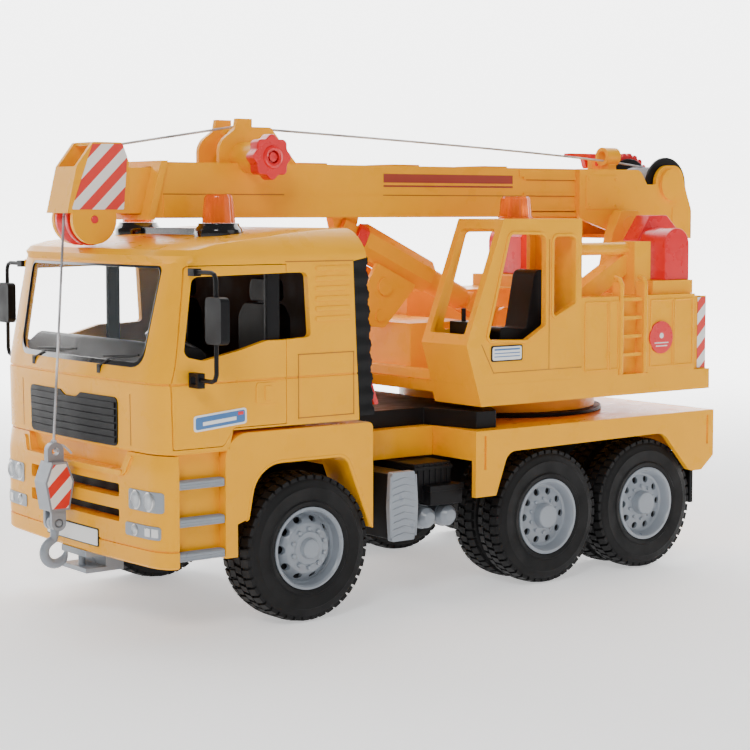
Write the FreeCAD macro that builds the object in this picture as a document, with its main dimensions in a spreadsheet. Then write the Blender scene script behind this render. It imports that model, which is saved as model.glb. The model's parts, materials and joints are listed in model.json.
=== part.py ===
import FreeCAD, Part
import math
import os
import re

# Toy crane truck, about 1:16: a three-axle truck that carries a slewing telescopic crane.
# Lengths are millimetres.  Stations (x) run backwards from the front axle, y is positive to
# the truck's right and z is the height above the ground.  Each finished node is moved forward
# by mid_station, so the model's origin lies on the ground under the middle of its outer box.

DIMENSIONS = {
    # whole truck
    "mid_station": 116.83, "half_width": 84, "body_half_width": 88,
    # wheels
    "wheel_radius": 37.5, "rim_radius": 20.8, "front_tyre": 26, "twin_tyre": 40,
    "middle_axle": 161.3, "last_axle": 237.7, "axle_radius": 3, "bearing_radius": 3.07,
    # chassis
    "rail_top": 73, "rail_bottom": 50, "rail_inner": 20, "rail_outer": 26, "hanger_bottom": 30,
    # truck cab
    "cab_front": -85, "cab_floor": 90, "cab_rear_top": 26.5, "cab_rear": 31, "wall": 3.5,
    "hood_line": 124, "sill_height": 132, "eaves": 183, "roof_peak": 197, "fender_top": 98.5,
    "door_gap": 0.35, "bumper_front": -88, "bumper_back": -76, "bumper_bottom": 35.5,
    # rear body and turntable
    "body_start": 105, "body_end": 289, "body_top": 89, "kingpin_station": 196,
    "kingpin_radius": 10, "kingpin_bore": 10.08, "ring_top": 91.4, "deck_bottom": 101.3,
    "deck_top": 113,
    # crane cab and housings
    "crane_cab_inner": 46, "crane_cab_rear": 185, "crane_cab_roof": 201.4, "cab_sill": 134.5,
    "housing_top": 157.5, "front_box_top": 143,
    # boom
    "pivot_station": 273, "pivot_height": 197, "pivot_radius": 5, "pivot_bore": 5.07,
    "boom_bottom": 202, "boom_top": 230.5, "boom_half": 18, "boom_front": -54,
    "boom_rear": 242, "slide_half": 11, "slide_bottom": 204.2, "slide_top": 227.8,
    "slide_gap": 0.35, "slide_start": -60, "slide_end": 150, "winch_half": 22,
    "spool_station": 319.2, "spool_height": 221.6, "spool_flange": 17, "ratchet_radius": 20.5,
    "knob_station": 9, "knob_height": 233.3, "knob_radius": 11.9,
    # head, rope and hook
    "pulley_station": -79.5, "pulley_height": 201.4, "pulley_radius": 13, "rope_radius": 0.6,
    "hook_station": -98, "hook_pin_height": 49.5,
    # lift cylinder
    "cylinder_top_station": 82, "cylinder_top_height": 195,
    "cylinder_foot_station": 196, "cylinder_foot_height": 141,
    # beacons
    "beacon_station": -25, "beacon_side": 40, "crane_beacon_station": 151.5,
    "crane_beacon_side": 66,
}

doc = FreeCAD.newDocument("crane_truck")
sheet = doc.addObject("Spreadsheet::Sheet", "dims")
for row, (name, value) in enumerate(DIMENSIONS.items(), start=1):
    sheet.set(f"A{row}", str(value))
    sheet.setAlias(f"A{row}", name)
doc.recompute()

NODES = []


class Cells:
    """Reads a driving dimension back from the sheet as a number: D.wheel_radius."""

    def __getattr__(self, name):
        return float(sheet.get(name))


D = Cells()


# ---------------------------------------------------------------- building blocks

def bind(part, prop, text):
    """Bind a property to an expression in which the sheet's aliases stand as plain words."""
    part.setExpression(prop, re.sub(r"[a-z]\w*", r"dims.\g<0>", str(text)))


def place(part, x=0, y=0, z=0):
    for letter, text in zip("xyz", (x, y, z)):
        bind(part, "Placement.Base." + letter, text)
    return part


def block(x, y, z):
    """A block between two stations, two sides and two heights."""
    part = doc.addObject("Part::Box", "block")
    for side, (low, high) in zip(("Length", "Width", "Height"), (x, y, z)):
        bind(part, side, f"({high}) - ({low})")
    return place(part, x[0], y[0], z[0])


def rod(axis, centre, radius, span):
    """A cylinder along one axis; centre holds its other two coordinates in x, y, z order."""
    part = doc.addObject("Part::Cylinder", "rod")
    bind(part, "Radius", radius)
    bind(part, "Height", f"({span[1]}) - ({span[0]})")
    corner = list(centre)
    corner.insert("xyz".index(axis), span[0])
    direction = FreeCAD.Vector(*[float(axis == letter) for letter in "xyz"])
    turn = FreeCAD.Rotation(FreeCAD.Vector(0, 0, 1), direction)
    part.Placement = FreeCAD.Placement(FreeCAD.Vector(0, 0, 0), turn)
    return place(part, *corner)


def edges_of(outline):
    """Lines round an outline; a corner given with a third number is rounded to that radius."""
    cuts = []
    for index, point in enumerate(outline):
        corner, back, ahead = [FreeCAD.Vector(p[0], p[1], 0) for p in (
            point, outline[index - 1], outline[(index + 1) % len(outline)])]
        back = (back - corner).normalize()
        ahead = (ahead - corner).normalize()
        radius = point[2] if len(point) > 2 else 0
        half = back.getAngle(ahead) / 2
        reach = radius / math.tan(half)
        apex = corner + (back + ahead).normalize() * (radius / math.sin(half) - radius) \
            if radius else corner
        cuts.append((corner + back * reach, apex, corner + ahead * reach, radius))
    edges = []
    for index, (start, apex, end, radius) in enumerate(cuts):
        if radius:
            edges.append(Part.Arc(start, apex, end))
        edges.append(Part.LineSegment(end, cuts[(index + 1) % len(cuts)][0]))
    return edges


def sketched(plane, edges):
    """A new body with one sketch on the named plane of its own origin."""
    body = doc.addObject("PartDesign::Body", "body")
    sketch = body.newObject("Sketcher::SketchObject", "outline")
    support = [item for item in body.Origin.OriginFeatures if item.Role == plane][0]
    sketch.AttachmentSupport = (support, [""])
    sketch.MapMode = "FlatFace"
    for edge in edges:
        sketch.addGeometry(edge)
    return body, sketch


def padded(plane, outline, span, **base):
    body, sketch = sketched(plane, edges_of(outline))
    pad = body.newObject("PartDesign::Pad", "pad")
    pad.Profile = sketch
    bind(pad, "Length", f"({span[1]}) - ({span[0]})")
    return place(body, **base)


def side_plate(outline, y):
    """An outline in station and height, between two sides."""
    return padded("XZ_Plane", outline, y, y=y[1])


def plan_plate(outline, z):
    """An outline in station and side, between two heights."""
    return padded("XY_Plane", outline, z, z=z[0])


def cross_plate(outline, x):
    """An outline in side and height, between two stations."""
    return padded("YZ_Plane", outline, x, x=x[0])


def turned(axis, outline, centre):
    """A solid of revolution; the outline holds (radius, distance along the axis)."""
    plane = "XZ_Plane" if axis == "z" else "XY_Plane"
    body, sketch = sketched(plane, edges_of(outline))
    turn = body.newObject("PartDesign::Revolution", "turn")
    turn.Profile = sketch
    turn.ReferenceAxis = (sketch, ["V_Axis"])
    turn.Angle = 360
    return place(body, *centre)


def cut(base, *tools):
    part = doc.addObject("Part::Cut", "cut")
    part.Base = base
    part.Tool = tools[0] if len(tools) == 1 else grouped(*tools)
    return part


def fused(*parts):
    part = doc.addObject("Part::MultiFuse", "fuse")
    part.Shapes = list(parts)
    part.Refine = True
    return part


def shared(*parts):
    part = doc.addObject("Part::MultiCommon", "common")
    part.Shapes = list(parts)
    return part


def grouped(*parts):
    part = doc.addObject("Part::Compound", "group")
    part.Links = list(parts)
    return part


def mirrored(part):
    """The same piece on the truck's other side."""
    other = doc.addObject("Part::Mirroring", "mirror")
    other.Source = part
    other.Normal = FreeCAD.Vector(0, 1, 0)
    return other


def both_sides(*parts):
    return list(parts) + [mirrored(part) for part in parts]


def tilted(part, origin, direction):
    """Turn a piece built along +x from the origin to run along a direction in the x-z plane."""
    turn = FreeCAD.Rotation(FreeCAD.Vector(1, 0, 0), direction)
    holder = grouped(part)
    holder.Placement = FreeCAD.Placement(FreeCAD.Vector(0, 0, 0), turn)
    return place(holder, *origin)


def node(label, *pieces):
    """A finished sub-part: its pieces together, moved to the model's own origin."""
    part = grouped(*pieces)
    part.Label = label
    NODES.append(place(part, x="-mid_station"))


# ---------------------------------------------------------------- wheels and chassis

def tyre_outline(width):
    """Half section of one tyre as (radius, distance in from its outer face)."""
    inner, outer = D.rim_radius, D.wheel_radius
    return [(inner, 1), (inner + 1.5, 0), (outer - 4, 0.4), (outer - 1, 3), (outer, 5.5),
            (outer, width - 5.5), (outer - 1, width - 3), (outer - 4, width - 0.4),
            (inner + 1.5, width), (inner, width - 1)]


def twin_outline(width):
    """Half section of a pair of tyres moulded as one, with the groove between them."""
    single = tyre_outline(width)
    middle, groove = width / 2, D.wheel_radius - 9
    return single[:5] + [(D.wheel_radius, middle - 4), (groove, middle - 1.2),
                         (groove, middle + 1.2), (D.wheel_radius, middle + 4)] + single[5:]


def rim_outline(width, dish):
    """Half section of a rim with its web set in by dish from the outer face."""
    outer, hub, bore = D.rim_radius, 9, D.axle_radius
    return [(bore, dish - 1), (hub - 2, dish - 1), (hub, dish + 1), (outer - 4, dish + 3),
            (outer - 2.2, dish - 1), (outer - 1.6, 0.6), (outer, 0.6), (outer, width - 1.5),
            (outer - 1.6, width - 1.5), (outer - 2.2, dish + 6), (hub, dish + 6),
            (hub - 2, width - 4), (bore, width - 4)]


def wheelset(name, station, width, outline, dish):
    """An axle with a rim and a tyre pressed on each end."""
    centre = (station, "-half_width", "wheel_radius")
    tyre = turned("y", outline(width), centre)
    rim = turned("y", rim_outline(width, dish), centre)
    reach = f"half_width - {dish}"
    node(f"{name}_axle", rod("y", (station, "wheel_radius"), "axle_radius",
                             (f"-({reach})", reach)))
    node(f"{name}_tyres", *both_sides(tyre))
    node(f"{name}_rims", *both_sides(rim))


def wheels():
    wheelset("front", 0, D.front_tyre, tyre_outline, 3)
    wheelset("middle", "middle_axle", D.twin_tyre, twin_outline, 9)
    wheelset("rear", "last_axle", D.twin_tyre, twin_outline, 9)


def chassis():
    """Two rails with axle hangers, joined by cross members, and the cab's mounting block."""
    low, high, hang = D.rail_bottom, D.rail_top, D.hanger_bottom
    middle, last, end = D.middle_axle, D.last_axle, D.body_end - 3.5
    rail = side_plate([
        (D.bumper_back, low), (-12, low), (-9, hang), (9, hang), (12, low),
        (middle - 13, low), (middle - 10, hang), (last + 10, hang), (last + 13, low),
        (end, low), (end, high), (D.bumper_back, high)], ("-rail_outer", "-rail_inner"))
    across = ("-rail_inner", "rail_inner")
    members = [block((x, x + 6), across, ("rail_bottom + 4", "rail_top"))
               for x in (D.bumper_back, -34, 40, 110, 262, end - 6)]
    mount = block((-44, 26), (-40, 40), ("rail_top", "fender_top + 1.5"))
    bearings = [rod("y", (station, "wheel_radius"), "bearing_radius", (-40, 40))
                for station in (0, "middle_axle", "last_axle")]
    node("chassis_frame", cut(fused(rail, mirrored(rail), mount, *members), *bearings))


def frame_cover():
    """The open-bottomed box that covers the frame between the cab and the rear body."""
    outer = block((34, "body_start"), (-52, 52), ("rail_top", 89))
    inner = block((37, "body_start - 3"), (-49, 49), ("rail_top - 1", 86))
    node("frame_cover", cut(outer, inner))


def rear_body():
    """Top plate, side aprons with the wheel arches, end walls and ribs down to the rails."""
    side, top, start, end = D.body_half_width, D.body_top, D.body_start, D.body_end
    apron = side_plate([
        (start, 53.5), (start + 14.5, 53.5), (start + 23, 76.5, 8), (247, 78, 10),
        (268, 55), (272, 54), (279, 54), (end, 62), (end, top), (start, top)],
        (-side, -side + 3.4))
    slots = grouped(block((start + 6, start + 7.4), (-side - 1, -side + 1.5), (68, 86)),
                    block((end - 6, end - 4.6), (-side - 1, -side + 1.5), (69, 86)))
    apron = cut(apron, slots)
    plate = block(("body_start", "body_end"), (-84.6, 84.6), ("body_top - 4", "body_top"))
    walls = [block(("body_start", "body_start + 3.5"), (-84.6, 84.6), ("rail_top", "body_top")),
             block(("body_end - 3.5", "body_end"), (-84.6, 84.6), (62, "body_top"))]
    rib = block(("body_start", "body_end - 3.5"), ("rail_inner", "rail_outer"),
                ("rail_top", "body_top"))
    boss = rod("z", ("kingpin_station", 0), 17, (68, "body_top"))
    bore = rod("z", ("kingpin_station", 0), "kingpin_bore", (60, 95))
    shell = fused(apron, mirrored(apron), plate, *walls, rib, mirrored(rib), boss)
    node("rear_body", cut(shell, bore))


def slew_ring():
    """The black plate and ring that the turntable turns on."""
    ring = rod("z", ("kingpin_station", 0), 62, ("body_top", "ring_top"))
    front = plan_plate([(42, -45), (104, -45), (112, -80), (126, -80), (140, -58), (140, 58),
                        (126, 80), (112, 80), (104, 45), (42, 45)], ("body_top", 98.5))
    swing = rod("z", ("kingpin_station", 0), 59.5, ("ring_top", 110))
    bore = rod("z", ("kingpin_station", 0), 13, (80, 110))
    node("slew_ring", cut(fused(ring, front), swing, bore))


def side_gear():
    """Tanks, boxes and flaps hung below the frame on both sides."""
    tank = block((52, 66.5), (-80, "-rail_outer"), (36, 70))
    box = block((76, 101), (-72, "-rail_outer"), (52, 72))
    step = block((82, 104), (-78, -40), (50, 60))
    node("side_boxes", *both_sides(tank, fused(box, step)))
    cover = side_plate([(52, 35, 1), (66.5, 35, 1), (68.5, 53, 8), (66.5, 71, 1),
                        (52, 71, 1), (50.8, 53, 8)], (-84, -80))
    bottles = [turned("y", [(0, 0), (3.2, 0.6), (5.4, 3), (6, 6), (6, 42), (5.4, 45),
                            (3.2, 47.4), (0, 48)], (x, -76, 43)) for x in (84, 98.5)]
    hanger = block((86, 96), (-60, -54), (42, 50))
    node("side_tanks", *both_sides(cover, fused(*bottles, hanger)))
    flap = block((275.7, 278.5), (-82, -50), (34, 62))
    strut = block((278.5, 285.5), (-70, -60), (56, 62))
    node("mud_flaps", *both_sides(fused(flap, strut)))


def tow_coupling():
    plates = [block((-87.6, -72), (-13, 13), z) for z in ((24, 26.4), (32.2, 35.5))]
    back = block((-76, -66), (-13, 13), (24, 35.5))
    pin = rod("z", (-83, 0), 1.8, (25, 33))
    node("tow_coupling", fused(*plates, back, pin))


# ---------------------------------------------------------------- truck cab

def cab_outline(inset=0):
    """Side view of the truck cab, from the front lower corner up over the roof."""
    return [(D.cab_front + inset, D.cab_floor + inset), (D.cab_front - 0.8 + inset, D.hood_line),
            (D.cab_front + 1.5 + inset, D.sill_height), (-74 + inset, 181.5 - inset),
            (-80 + 2 * inset, D.eaves), (-70 + inset, 187.5 - inset, 6),
            (-40, 192 - inset), (12, D.roof_peak - inset, 20), (33 - inset, 196 - inset, 2),
            (35 - inset, D.eaves + 0.5), (D.cab_rear_top - inset, D.eaves + 0.4 - inset / 2),
            (D.cab_rear - inset, 100 + inset), (-45, 100 + inset), (-50, D.cab_floor + inset)]


def corner_cut():
    """What the cab's left front corner is cut back by: below, up the raked screen, at the roof."""
    side = D.half_width
    low = plan_plate([(-100, 60), (-100, 90), (-77.5, 90), (-78, side), (-90, 62)], (80, 205))
    raked = plan_plate([(-20, 60), (-20, 90), (5.5, 90), (5.5, side), (0, 66)], (0, 75))
    lean = FreeCAD.Rotation(FreeCAD.Vector(0, 1, 0), 10.9)
    screen = grouped(raked)
    screen.Placement = FreeCAD.Placement(FreeCAD.Vector(0, 0, 0), lean)
    roof = plan_plate([(-100, 50), (-100, 90), (-62, 90), (-62, side), (-81, 54)], (182, 205))
    return fused(low, place(screen, -85.3, 0, 124), roof)


def cab_outer():
    """The cab's outer form, with its roof sides sloped in and its front corners cut back."""
    side = D.half_width
    form = side_plate(cab_outline(), (-side, side))
    eaves = cross_plate([(side, D.eaves), (side + 2, 203), (68, 203)], (-95, 45))
    return cut(form, *both_sides(eaves, corner_cut()))


def door_outline(gap=0):
    """The door seen from the side, grown by gap for the opening that it sits in."""
    return [(-78.5 - gap, 93 - gap), (-79.3 - gap, D.hood_line), (-77.4 - gap, 133),
            (-70.6 - gap, 179.5 + gap), (-14.5 + gap, 179.5 + gap), (-14.5 + gap, 101.5 - gap),
            (-45, 101.5 - gap, 3), (-51, 93 - gap, 3)]


def side_window():
    return [(-69, 174.5, 4), (-74, 137, 4), (-62, 134.5, 4), (-40, 139, 12), (-26, 142.7, 4),
            (-13, 142.7), (-13, 175.5)]


def screen_opening():
    return cross_plate([(-63.5, 131, 8), (63.5, 131, 8), (67, 179.5, 3), (-67, 179.5, 3)],
                       (-95, -64))


def cab_shell():
    side, wall = D.half_width, D.wall
    lower = side_plate([(D.cab_front + 4, 94), (D.cab_front + 3.5, D.hood_line),
                        (D.cab_front + 5.5, D.sill_height), (-69.5, 180), (22.5, 180),
                        (27, 104), (-47, 104), (-52, 94)], (-side + wall, side - wall))
    upper = side_plate([(-69, 179), (-66, 184), (-40, 188), (12, 193), (22, 192.5), (22, 179)],
                       (-66, 66))
    corner = plan_plate([(-100, 55), (-100, 90), (-72, 90), (-74, 78.5), (-83, 62)], (85, 181))
    hollow = cut(fused(lower, upper), *both_sides(corner))
    screen = screen_opening()
    opening = side_plate(door_outline(D.door_gap), (-90, -78))
    quarter = side_plate([(-14.5, 175.5), (-14.5, 142.7), (0.5, 143.5, 2), (-1.5, 175.5, 2)],
                         (-90, -75))
    node("cab_shell", cut(cab_outer(), hollow, screen, *both_sides(opening, quarter)))


def windshield():
    sheet = side_plate([(-83.5, 131), (-73.6, 180), (-72.3, 180), (-82.2, 131)], (-70, 70))
    node("windshield", cut(shared(sheet, screen_opening()), *both_sides(corner_cut())))


def bumper_plan(grow=0):
    side = D.half_width + grow
    front, back = D.bumper_front - grow, D.bumper_back
    return [(front, -68), (-79 - grow, -side), (back, -side), (back, side), (-79 - grow, side),
            (front, 68)]


def light_boxes():
    """Where the headlamps and the fog lamps sit in the bumper, on the left side."""
    lamp = block((-95, -83), (-80.5, -55), (62.5, 72.5))
    fog = block((-95, -83), (-78, -52), (49.5, 56))
    return lamp, fog


def front_end():
    """Bumper with its lamp sockets and air slots, the side blocks behind the steps, lamps."""
    form = plan_plate(bumper_plan(), ("bumper_bottom", "cab_floor - 0.3"))
    slots = [block((-95, -84.5), (-46, 46), z) for z in ((67, 73.5), (55, 61))]
    sockets = both_sides(*light_boxes())
    cheek = block(("bumper_back", -50), (-78, -62), (38, 89.7))
    node("front_bumper", fused(cut(form, *slots, *sockets), cheek, mirrored(cheek)))
    fitted = shared(plan_plate(bumper_plan(0.5), (40, 80)), grouped(*both_sides(*light_boxes())))
    node("headlights", fitted)
    treads = [block(("bumper_back", -50.5), (-84, -78), (z, z + 4)) for z in (39, 55.5, 73.5)]
    node("step_treads", *both_sides(*treads))
    panel = block(("cab_front - 1.2", "cab_front"), (-45, 45), (91.5, 115.5))
    ribs = [block(("cab_front - 1.2 - 0.6", "cab_front - 1.2"), (-43, 43), (z, z + 1.6))
            for z in (94, 98, 102, 106)]
    node("grille", cut(fused(panel, *ribs), cab_outer()))


def front_fenders():
    top = D.fender_top
    arch = side_plate([(-50, 38), (-50, top, 13), (39.5, top, 3), (39.5, 44), (38.9, 44),
                       (23, 83, 8), (-32, 83, 18), (-37, 56, 1), (-43, 54), (-43, 38)],
                      (-84, -58))
    node("front_fenders", *both_sides(arch))


def cab_inside():
    """Seats, dashboard, door pillars and the steering wheel, moulded as one."""
    dash = side_plate([(-78, 104), (-78, 128, 3), (-66, 131, 4), (-58, 124), (-60, 104)],
                      (-70, 70))
    seat = side_plate([(-38, 104), (-38, 116, 3), (-16, 114), (-6, 160, 4), (3, 160, 4),
                       (-2, 104)], (-60, -20))
    floor = block((-60, 22), (-78, 78), (104, 106))
    pillar = block((-23, -15.2), (-80.1, -77), (104, 180))
    rim = turned("z", [(9.5, -1), (11.5, -1, 0.6), (11.5, 1, 0.6), (9.5, 1)], (0, 0, 0))
    spokes = [block((-10, 10), (-1.2, 1.2), (-0.7, 0.7)),
              block((-1.2, 1.2), (-10, 10), (-0.7, 0.7))]
    column = rod("z", (0, 0), 1.8, (-14, 0))
    wheel = grouped(fused(rim, *spokes, column))
    lean = FreeCAD.Rotation(FreeCAD.Vector(0, 1, 0), 55)
    wheel.Placement = FreeCAD.Placement(FreeCAD.Vector(0, 0, 0), lean)
    place(wheel, -49, -40, 132)
    node("cab_interior", fused(dash, *both_sides(seat, pillar), floor, wheel))


def cab_outside():
    """Ribbed air intakes behind the cab, the roof bar with two beacons, the release lever."""
    intake = side_plate([(D.cab_rear_top + 0.1, D.eaves), (35.5, D.eaves), (40, 102),
                         (D.cab_rear, 102)], (-84, -66))
    node("air_intake", *both_sides(intake))
    spot = ("beacon_station", "-beacon_side")
    foot = rod("z", spot, 11.4, (188, 199.6))
    bar = block(("beacon_station - 5", "beacon_station + 5"), ("-beacon_side", "beacon_side"),
                (188, 197))
    node("beacon_bases", cut(fused(foot, mirrored(foot), bar), cab_outer()))
    lens = turned("z", [(0, 0), (8.3, 0), (7.1, 13.4, 1), (6, 14.6), (0, 14.6)], (*spot, 199.6))
    node("beacon_lenses", *both_sides(lens))
    node("cab_lever", side_plate([(38.56, 128), (38.92, 121.5), (46.5, 106), (49.5, 106, 1),
                                  (41.5, 128)], (-76, -68)))


def doors():
    plate = side_plate(door_outline(), (-84, -80.5))
    door = cut(plate, side_plate(side_window(), (-90, -75)), corner_cut())
    clips = [block((-70, -66.5), (-85, -84), z) for z in ((124, 128.5), (175.5, 178.8))]
    door = fused(door, *clips)
    node("door_left", door)
    node("door_right", mirrored(door))


def mirrors():
    """A bent tube frame with the mirror housing on its upright, folding about its feet."""
    levels = ((125.2, 127.4), (176, 178.2))
    arms = [rod("y", (-69.5, sum(z) / 2), 1.1, (-108, -87)) for z in levels]
    feet = [rod("z", (-69.5, -87), 1.6, z) for z in levels]
    upright = rod("z", (-69.5, -106.9), 1.1, (125.2, 178.2))
    housing = block((-71.9, -67.1), (-115, -101), (144, 166))
    mirror = fused(*arms, *feet, upright, housing)
    node("mirror_left", mirror)
    node("mirror_right", mirrored(mirror))


# ---------------------------------------------------------------- crane superstructure

def crane_deck():
    """The turning deck with its kingpin and the two ears that hold the cylinder's foot."""
    side = D.half_width
    slab = side_plate([(112, D.deck_bottom), (108.4, D.deck_top), (D.body_end, D.deck_top),
                       (D.body_end, D.deck_bottom)], (-side, side))
    slab = cut(slab, block((105, 160), (-45, 90), ("deck_bottom - 1", 106.7)))
    table = rod("z", ("kingpin_station", 0), 58, ("ring_top + 0.3", 107))
    pin = rod("z", ("kingpin_station", 0), "kingpin_radius", (70, "deck_bottom"))
    foot, height = D.cylinder_foot_station, D.cylinder_foot_height
    ear = side_plate([(foot - 14, D.deck_top), (foot + 14, D.deck_top), (foot + 8, height + 8, 7),
                      (foot - 8, height + 8, 7)], (-11, -7.6))
    node("crane_deck", fused(slab, table, pin, ear, mirrored(ear)))


def crane_cab_outline(inset=0):
    return [(108.4 + inset * 1.2, D.deck_top + inset), (101.5 + inset, D.cab_sill),
            (127.5 + inset, D.crane_cab_roof - inset, 1),
            (D.crane_cab_rear - inset, D.crane_cab_roof - inset, 1),
            (D.crane_cab_rear - inset, D.deck_top + inset)]


def crane_cab():
    """An open-windowed operator's cab on the deck's left front corner."""
    outer, inner, wall = -D.half_width, -D.crane_cab_inner, 3
    form = side_plate(crane_cab_outline(), (outer, inner))
    hollow = side_plate(crane_cab_outline(wall), (outer + wall, inner - wall))
    front = cross_plate([(outer + 4.5, 140, 1.5), (inner - 4.5, 140, 1.5),
                         (inner - 4.5, 196, 3), (outer + 4.5, 196, 3)], (95, 132))
    door_pane = side_plate([(116.2, 137, 2), (144, 136, 3), (157.5, 143.4, 2),
                            (157.5, 192.6, 4), (132, 193, 3)], (outer - 1, outer + 5))
    rear_pane = side_plate([(163.6, 147.6, 1.5), (179.7, 154.8, 1.5), (179.7, 191.6, 3),
                            (163.6, 191.6, 3)], (outer - 1, outer + 5))
    far_pane = side_plate([(113.5, 141, 2), (178, 141, 2), (178, 194, 3), (131, 194, 3)],
                          (inner - 5, inner + 1))
    node("crane_cab", cut(form, hollow, front, door_pane, rear_pane, far_pane))


def crane_cab_fittings():
    seat = side_plate([(132, 116), (132, 143, 3), (151, 141, 2), (157, 172, 4),
                       (165, 175, 5), (169, 160, 6), (163, 116)], (-76, -58))
    console = block((113, 124), (-74, -56), (116, 146))
    lever = rod("z", (118, -62), 1.3, (146, 153))
    node("crane_seat", seat, fused(console, lever))
    lens = turned("z", [(0, 0), (9.4, 0), (8, 11, 1), (7, 12.2), (0, 12.2)],
                  ("crane_beacon_station", "-crane_beacon_side", "crane_cab_roof"))
    node("crane_beacon", lens)


def ladder():
    rails = [block((x, x + 2.4), (-84, -78), ("deck_top", 165.3)) for x in (214.6, 233.6)]
    rungs = [block((217, 233.6), (-83, -80.5), (z, z + 2)) for z in (123, 133.5, 144, 154.5)]
    return fused(*rails, *rungs)


def engine_housing():
    """The boxes behind the crane cab with the ladder between them and the strutted pillar."""
    inner = "-crane_cab_inner"
    front = block(("crane_cab_rear", 214), (-84, inner), ("deck_top", "housing_top"))
    middle = block((214, 237), (-78, inner), ("deck_top", "housing_top"))
    rear = block((237, 276), (-84, inner), ("deck_top", "housing_top"))
    saddle = block((245, 278), (-80, "-34"), ("housing_top", 165.4))
    back_step = block((276, 284), (-81, inner), ("deck_top", 156))
    pillar = block((234, 247), (-76, -60), ("housing_top", 188))
    strut = rod("x", (-68, 184), 3.6, ("crane_cab_rear", 238))
    brace = side_plate([(196, 157), (196, 161), (235, 182), (235, 170), (212, 157)], (-70, -60))
    node("engine_housing", fused(front, middle, rear, saddle, back_step, pillar, strut, brace,
                                 ladder()))


def right_housing():
    """The deck's front box and the plain housing along its right side."""
    front = block((113, 160), (-22, 84), ("deck_top", "front_box_top"))
    side = block((160, 276), (40, 84), ("deck_top", "housing_top"))
    saddle = block((245, 278), (34, 80), ("housing_top", 165.4))
    sill = block((109, 113), (-45, 84), ("deck_top", 119))
    node("right_housing", fused(front, side, saddle, sill))


def boom_towers():
    """Two plates that carry the boom's trunnions, with the red covers over their ends."""
    x, z = D.pivot_station, D.pivot_height
    plate = side_plate([(x - 30, D.deck_top), (x + 28, D.deck_top), (x + 17, 168),
                        (x + 14, z + 3, 4), (x + 7, z + 9, 3), (x - 7, z + 9, 3),
                        (x - 14, z - 4, 4), (x - 20, 168)], (-33.4, -26))
    plate = cut(plate, rod("y", ("pivot_station", "pivot_height"), "pivot_bore", (-40, -20)))
    node("boom_towers", *both_sides(plate))
    big = side_plate([(x - 17.3, 165.4), (x - 17.3, 188.8), (x - 6.7, z + 6), (x + 7.2, z + 6),
                      (x + 16, 195), (x + 16, 165.4)], (-57, -45))
    small = side_plate([(x - 16, 165.4), (x - 16, 195.6, 9.9), (x + 4, 195.6, 9.9),
                        (x + 4, 165.4)], (-78, -57))
    node("pivot_covers", *both_sides(fused(big, small)))


# ---------------------------------------------------------------- boom

def boom_shell():
    """The outer boom: a tube with a slanted collar, wear pads and the cylinder's lug."""
    half, low, high = D.boom_half, D.boom_bottom, D.boom_top
    front, gap = D.boom_front, D.slide_gap
    tube = side_plate([(front + 1, low), (front + 8.5, high), (D.boom_rear, high),
                       (D.boom_rear, low)], (-half, half))
    collar = side_plate([(front, low - 0.8), (front + 8, high + 0.6), (front + 12, high + 0.6),
                         (front + 4, low - 0.8)], (-half - 1.6, half + 1.6))
    pads = [block((x, x + 19), (-12, 12), ("boom_top", "boom_top + 1"))
            for x in (44, 108, 174)]
    lug_x, lug_z = D.cylinder_top_station, D.cylinder_top_height
    lug = side_plate([(lug_x - 9, low), (lug_x - 6, lug_z - 5, 4), (lug_x + 6, lug_z - 5, 4),
                      (lug_x + 9, low)], (-3, 3))
    bore = block(("boom_front - 9", "boom_rear + 9"),
                 (f"-slide_half - {gap}", f"slide_half + {gap}"),
                 (f"slide_bottom - {gap}", f"slide_top + {gap}"))
    slot = block(("knob_station - 7", "knob_station + 7"), (-8, 8), (220, 240))
    pin = rod("y", ("cylinder_top_station", "cylinder_top_height"), 2.06, (-10, 10))
    groove = rod("y", ("knob_station", "knob_height"), 3.4, (-20, 20))
    node("boom_shell", cut(fused(tube, collar, *pads, lug), bore, slot, pin, groove))


def winch_side():
    """Side view of the rear housing with its rounded lobe about the spool's axle."""
    x, z = D.spool_station, D.spool_height
    return [(D.boom_rear, 201), (D.boom_rear, D.boom_top), (293, D.boom_top, 6), (299, 221.7),
            (306.4, 221.7), (x - 11.8, z + 12, 11), (x + 9.5, z + 12, 9), (334, 217, 8),
            (338.5, 206, 8), (338.5, 188.3), (283, 188.6, 6)]


def winch_housing():
    """Two side plates, joined round the edge, with the trunnions, the boss and rope guide."""
    half, wall = D.winch_half, 2.4
    plate = side_plate(winch_side(), (-half, -half + wall))
    axle = rod("y", ("spool_station", "spool_height"), "bearing_radius", (-30, 30))
    across = (-half + wall, half - wall)
    joins = [block(("boom_rear", "boom_rear + 3"), across, ("boom_bottom", "boom_top")),
             block(("boom_rear", 294), across, ("boom_top - 2.4", "boom_top")),
             block((283, 338.5), across, (188.6, 191)), block((336, 338.5), across, (188.6, 205))]
    trunnion = rod("y", ("pivot_station", "pivot_height"), "pivot_radius", (-33.2, -half))
    collar = rod("y", ("pivot_station", "pivot_height"), 8, (-25.6, -half))
    boss = rod("y", ("spool_station", "spool_height"), 9.6, (-half - 2.2, -half))
    lug = cut(block((282, 290), (9, 13), ("boom_top", 238)),
              rod("y", (286, 234.8), 1.57, (8, 14)))
    post = block((284, 290.5), (-3.5, 3.5), ("boom_top", 235))
    guide = rod("x", (0, 239), 5.6, (281.5, 292.5))
    eye = rod("x", (0, 239), 3.4, (280, 294))
    sides = both_sides(plate, trunnion, collar)
    body = cut(fused(*sides, *joins, post, guide), axle, eye)
    node("winch_housing", fused(body, boss, lug))


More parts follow.
